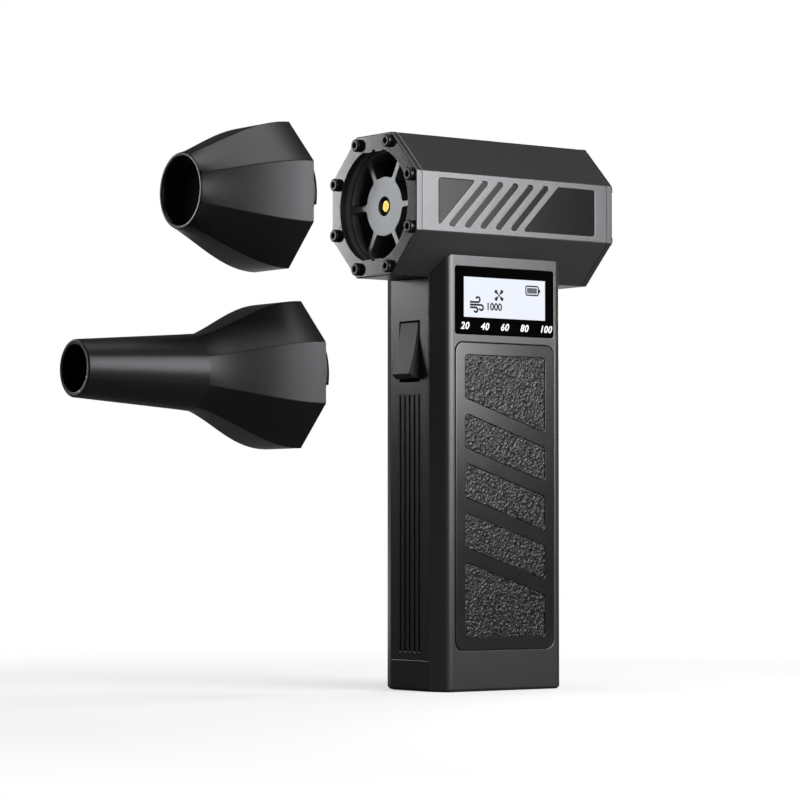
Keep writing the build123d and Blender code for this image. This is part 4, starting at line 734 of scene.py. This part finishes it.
def pebbled(node):
    """A pad remeshed finely, its outer side raised into pebbles with creases between them."""
    low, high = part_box(node)
    outward = 1.0 if low.y + high.y > 0 else -1.0
    shape = bmesh.new()
    shape.from_mesh(nodes[node].data)
    bmesh.ops.remove_doubles(shape, verts=shape.verts, dist=weld_room)
    pads = piece_from(shape, node + "_pebbled", smooth=True, weighted=False)
    remesh = pads.modifiers.new("even", "REMESH")
    remesh.mode = "VOXEL"
    remesh.voxel_size = voxel
    remesh.use_smooth_shade = True
    even = bpy.data.meshes.new_from_object(pads.evaluated_get(bpy.context.evaluated_depsgraph_get()))
    pads.modifiers.clear()
    pads.data = even
    middle = (low.y + high.y) / 2
    crease_shade = even.attributes.new("crease", "FLOAT", "POINT")
    for vertex in even.vertices:
        if outward * (vertex.co.y - middle) < flank:
            continue
        spot = vertex.co / pebble
        lean = spot * stray_pitch
        spot.x += stray * noise.noise(lean)
        spot.z += stray * noise.noise(lean + stray_shift)
        spot.y = 0.0
        near, second = noise.voronoi(spot)[0][:2]
        crease = min(1.0, (second - near) * steepness)
        swell = crease * (2 - crease)
        # 1 in the creases, where the material paints the pad near black: painted shade
        crease_shade.data[vertex.index].value = 1 - swell
        vertex.co.y += outward * (deep * (swell - 1.0) + wave_deep * noise.noise(vertex.co / wave_long))
    return pads


pad_finish = Finish("pebbled_rubber")
pad_grain = pad_finish.clouds(0.0003)
pad_crease_shade = pad_finish.node("Attribute", {"attribute_name": "crease"}, output="Fac")
# the creases are painted near black: painted shade
pad_material = pad_finish.principled(
    pad_finish.mix(
        pad_crease_shade, pad_finish.mix(pad_grain, (0.055, 0.055, 0.057), (0.085, 0.085, 0.088)),
        (0.008, 0.008, 0.008),
    ),
    metal=0.85, rough=0.36 + 0.08 * pad_grain, shine=0.3, normal=pad_finish.bump(pad_grain, 0.00003),
)
for name in ("front_grip_pads", "rear_grip_pads"):
    dress(pebbled(name), pad_material, "body", "pad_rubber", name)


# Battery: four cylindrical cells in blue shrink wrap, with welded nickel strips.  The shell of the
# charging port is of the same nickel.
wrap_finish = Finish("cell_wrap")
wrap_folds = wrap_finish.clouds(0.004)
wrap_material = wrap_finish.principled(
    wrap_finish.mix(wrap_folds, (0.02, 0.10, 0.34), (0.04, 0.16, 0.46)), rough=0.3 + 0.15 * wrap_folds,
    normal=wrap_finish.bump(wrap_folds, 0.00005),
)
coat(wrap_material, "battery_cells")
nickel_finish = Finish("nickel_sheet")
nickel_grain = nickel_finish.clouds(0.0008)
nickel_material = nickel_finish.principled(
    nickel_finish.mix(nickel_grain, (0.5, 0.48, 0.44), (0.68, 0.66, 0.62)), metal=1.0,
    rough=0.25 + 0.15 * nickel_grain, normal=nickel_finish.bump(nickel_grain, 0.00001),
)
coat(nickel_material, "nickel_strips", "charge_port")


# Boards: glass fibre sheets with green solder mask over copper tracks, and black moulded packages
# soldered on.  Soft red silicone leads join them to the motor and the cells.
board_finish = Finish("solder_mask")
board_spot = board_finish.node(
    "Mapping", None, {"Vector": board_finish.place(), "Rotation": (pi / 2, 0.0, 0.0)}
)
board_tracks = board_finish.node(
    "TexBrick", None, {"Vector": board_spot, "Scale": 260.0, "Mortar Size": 0.03}, output="Fac"
)
board_material = board_finish.principled(
    board_finish.mix(board_tracks, (0.01, 0.10, 0.04), (0.03, 0.20, 0.08)), rough=0.30 + 0.1 * board_tracks,
    normal=board_finish.bump(board_tracks, 0.00002),
)
coat(board_material, "display_board", "driver_board", "charge_board")
chip_finish = Finish("moulded_package")
chip_grain = chip_finish.clouds(0.0003)
chip_material = chip_finish.principled(
    chip_finish.mix(chip_grain, (0.012, 0.012, 0.012), (0.035, 0.035, 0.035)), rough=0.5 + 0.15 * chip_grain,
    normal=chip_finish.bump(chip_grain, 0.00002),
)
coat(chip_material, "power_transistors", "control_chip")
lead_finish = Finish("silicone_lead")
lead_grain = lead_finish.clouds(0.0006)
lead_material = lead_finish.principled(
    lead_finish.mix(lead_grain, (0.35, 0.02, 0.015), (0.50, 0.04, 0.03)), rough=0.45 + 0.1 * lead_grain,
    normal=lead_finish.bump(lead_grain, 0.00001),
)
coat(lead_material, "motor_leads", "battery_leads")


# Nozzles: satin black mouldings.  Each is octagonal at the rear, where it meets the barrel, and its
# facets run on nearly to the round mouth; a spigot with two catches goes into the barrel.
spigot_long = 0.0050
spigot_outside = 0.0184
spigot_bore = 0.0168
lug_outside = 0.0196
lug_thick = 0.0018
lug_first = 107.0                    # where the first catch begins, in degrees
lug_sweep = 84.0
lug_steps = 24
wall = 0.0018                        # thickness of the flare
flange = 0.0025                      # thickness of the rear end round the spigot
flare_steps = 44
inner_steps = 3                      # the flare is hollow from this step on
neck_steps = 12
lip_steps = 6
edge_ease = 0.00018
neck_step = 0.00008                  # the neck is this much wider than the flare's end
inner_ease = 0.00020
facet_places = (-0.97, -0.88, -0.62, -0.3, 0.0, 0.3, 0.62, 0.88, 0.97, 1.0)


def ring_of(shape, x, axis, radius, roundness):
    """A ring of points round the axis, from an octagon (0) to a circle (1)."""
    ring = []
    for facet in range(8):
        middle = pi / 4 * (facet + 1)
        for place in facet_places:
            lean = place * pi / 8
            flat = radius * cos(pi / 8) / cos(lean)
            reach = flat + (radius - flat) * roundness
            turn = middle + lean
            ring.append(shape.verts.new((x, axis.y + reach * cos(turn), axis.z + reach * sin(turn))))
    return ring


def skin(shape, rings):
    """Closes a tube of rings, the last joined to the first."""
    for first, second in zip(rings, rings[1:] + rings[:1]):
        for k in range(len(first)):
            m = (k + 1) % len(first)
            shape.faces.new((first[k], first[m], second[m], second[k]))


def moulded_nozzle(
    node, flare_long, end_radius, turn, sweep, fade, roundest, mouth_radius, mouth_bore, lip
):
    """A nozzle in the box of its node: flare, neck if the mouth is narrower, lip, bore and spigot.

    The radius of the flare goes from the octagon's corner to end_radius, bent by turn and sweep; its
    roundness grows to roundest by the power fade.
    """
    low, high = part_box(node)
    axis = (low + high) / 2
    corner = (high.z - low.z) / 2 / cos(pi / 8)
    rear = high.x - spigot_long
    flare_end = rear - flare_long
    mouth = low.x
    necked = mouth_radius != end_radius
    shape = bmesh.new()
    rings = []
    flare = []
    for step in range(flare_steps + 1):
        share = step / flare_steps
        radius = corner - (corner - end_radius) * share**turn * (1 + sweep * (1 - share))
        flare.append((share, radius))
        if step == 0:
            rings.append(ring_of(shape, rear, axis, radius - edge_ease, 0.0))
            rings.append(ring_of(shape, rear - edge_ease, axis, radius, 0.0))
        else:
            rings.append(ring_of(shape, rear - share * flare_long, axis, radius, roundest * share**fade))
    seams = {0, 1}
    outline = []
    if necked:
        seams |= {len(rings) - 1, len(rings)}
        outline.append((flare_end, end_radius + neck_step))
        for step in range(1, neck_steps + 1):
            share = step / neck_steps
            outline.append((
                flare_end + (mouth + lip - flare_end) * share,
                end_radius + (mouth_radius - end_radius) * share,
            ))
    lip_turns = [pi / 2 * k / lip_steps for k in range(1, lip_steps + 1)]
    outline += [(mouth + lip * (1 - sin(t)), mouth_radius - lip * (1 - cos(t))) for t in lip_turns]
    outline.append((mouth, mouth_bore + inner_ease))
    outline.append((mouth + inner_ease, mouth_bore))
    for x, radius in outline:
        rings.append(ring_of(shape, x, axis, radius, 1.0))
    if necked:
        rings.append(ring_of(shape, flare_end, axis, end_radius - wall, 1.0))
    for share, radius in reversed(flare[inner_steps:-1]):
        inner_radius = min(radius - wall, radius - wall + (wall - mouth_radius + mouth_bore) * share)
        rings.append(ring_of(shape, rear - share * flare_long, axis, inner_radius, roundest * share**fade))
    rings.append(ring_of(shape, rear - flange, axis, spigot_bore, 1.0))
    rings.append(ring_of(shape, rear + spigot_long, axis, spigot_bore, 1.0))
    rings.append(ring_of(shape, rear + spigot_long, axis, spigot_outside, 1.0))
    rings.append(ring_of(shape, rear, axis, spigot_outside, 1.0))
    skin(shape, rings)
    for k in seams | {len(rings) - j for j in range(1, 5)}:
        crisp = set(rings[k])
        for edge in shape.edges:
            if crisp.issuperset(edge.verts):
                edge.smooth = False
    for first in (lug_first, lug_first + 180):
        sections = []
        for step in range(lug_steps + 1):
            angle = radians(first + lug_sweep * step / lug_steps)
            sections.append([
                shape.verts.new((x, axis.y + radius * cos(angle), axis.z + radius * sin(angle)))
                for x, radius in (
                    (rear + spigot_long - lug_thick, spigot_outside - wall / 2),
                    (rear + spigot_long - lug_thick, lug_outside),
                    (rear + spigot_long, lug_outside), (rear + spigot_long, spigot_outside - wall / 2),
                )
            ])
        for near, following in zip(sections, sections[1:]):
            for k in range(4):
                shape.faces.new((near[k], near[(k + 1) % 4], following[(k + 1) % 4], following[k]))
        shape.faces.new(sections[0])
        shape.faces.new(sections[-1][::-1])
    bmesh.ops.recalc_face_normals(shape, faces=shape.faces)
    return piece_from(shape, node + "_moulded", smooth=True)


nozzle_finish = Finish("satin_nozzle")
nozzle_grain = nozzle_finish.clouds(0.0004)
nozzle_material = nozzle_finish.principled(
    nozzle_finish.mix(nozzle_grain, (0.018, 0.018, 0.019), (0.034, 0.034, 0.036)),
    metal=0.8, rough=0.33 + 0.06 * nozzle_grain, shine=0.4, normal=nozzle_finish.bump(nozzle_grain, 0.00002),
)
wide_nozzle = moulded_nozzle(
    "wide_nozzle", flare_long=0.0372, end_radius=0.0129, turn=2.1, sweep=0.95, fade=6.0, roundest=1.0,
    mouth_radius=0.0129, mouth_bore=0.01175, lip=0.00035,
)
dress(wide_nozzle, nozzle_material, "wide_nozzle", "nozzle_plastic", "wide_nozzle")
narrow_nozzle = moulded_nozzle(
    "narrow_nozzle", flare_long=0.0385, end_radius=0.0129, turn=2.3, sweep=1.65, fade=5.0, roundest=0.6,
    mouth_radius=0.0096, mouth_bore=0.0078, lip=0.0005,
)
dress(narrow_nozzle, nozzle_material, "narrow_nozzle", "nozzle_plastic", "narrow_nozzle")
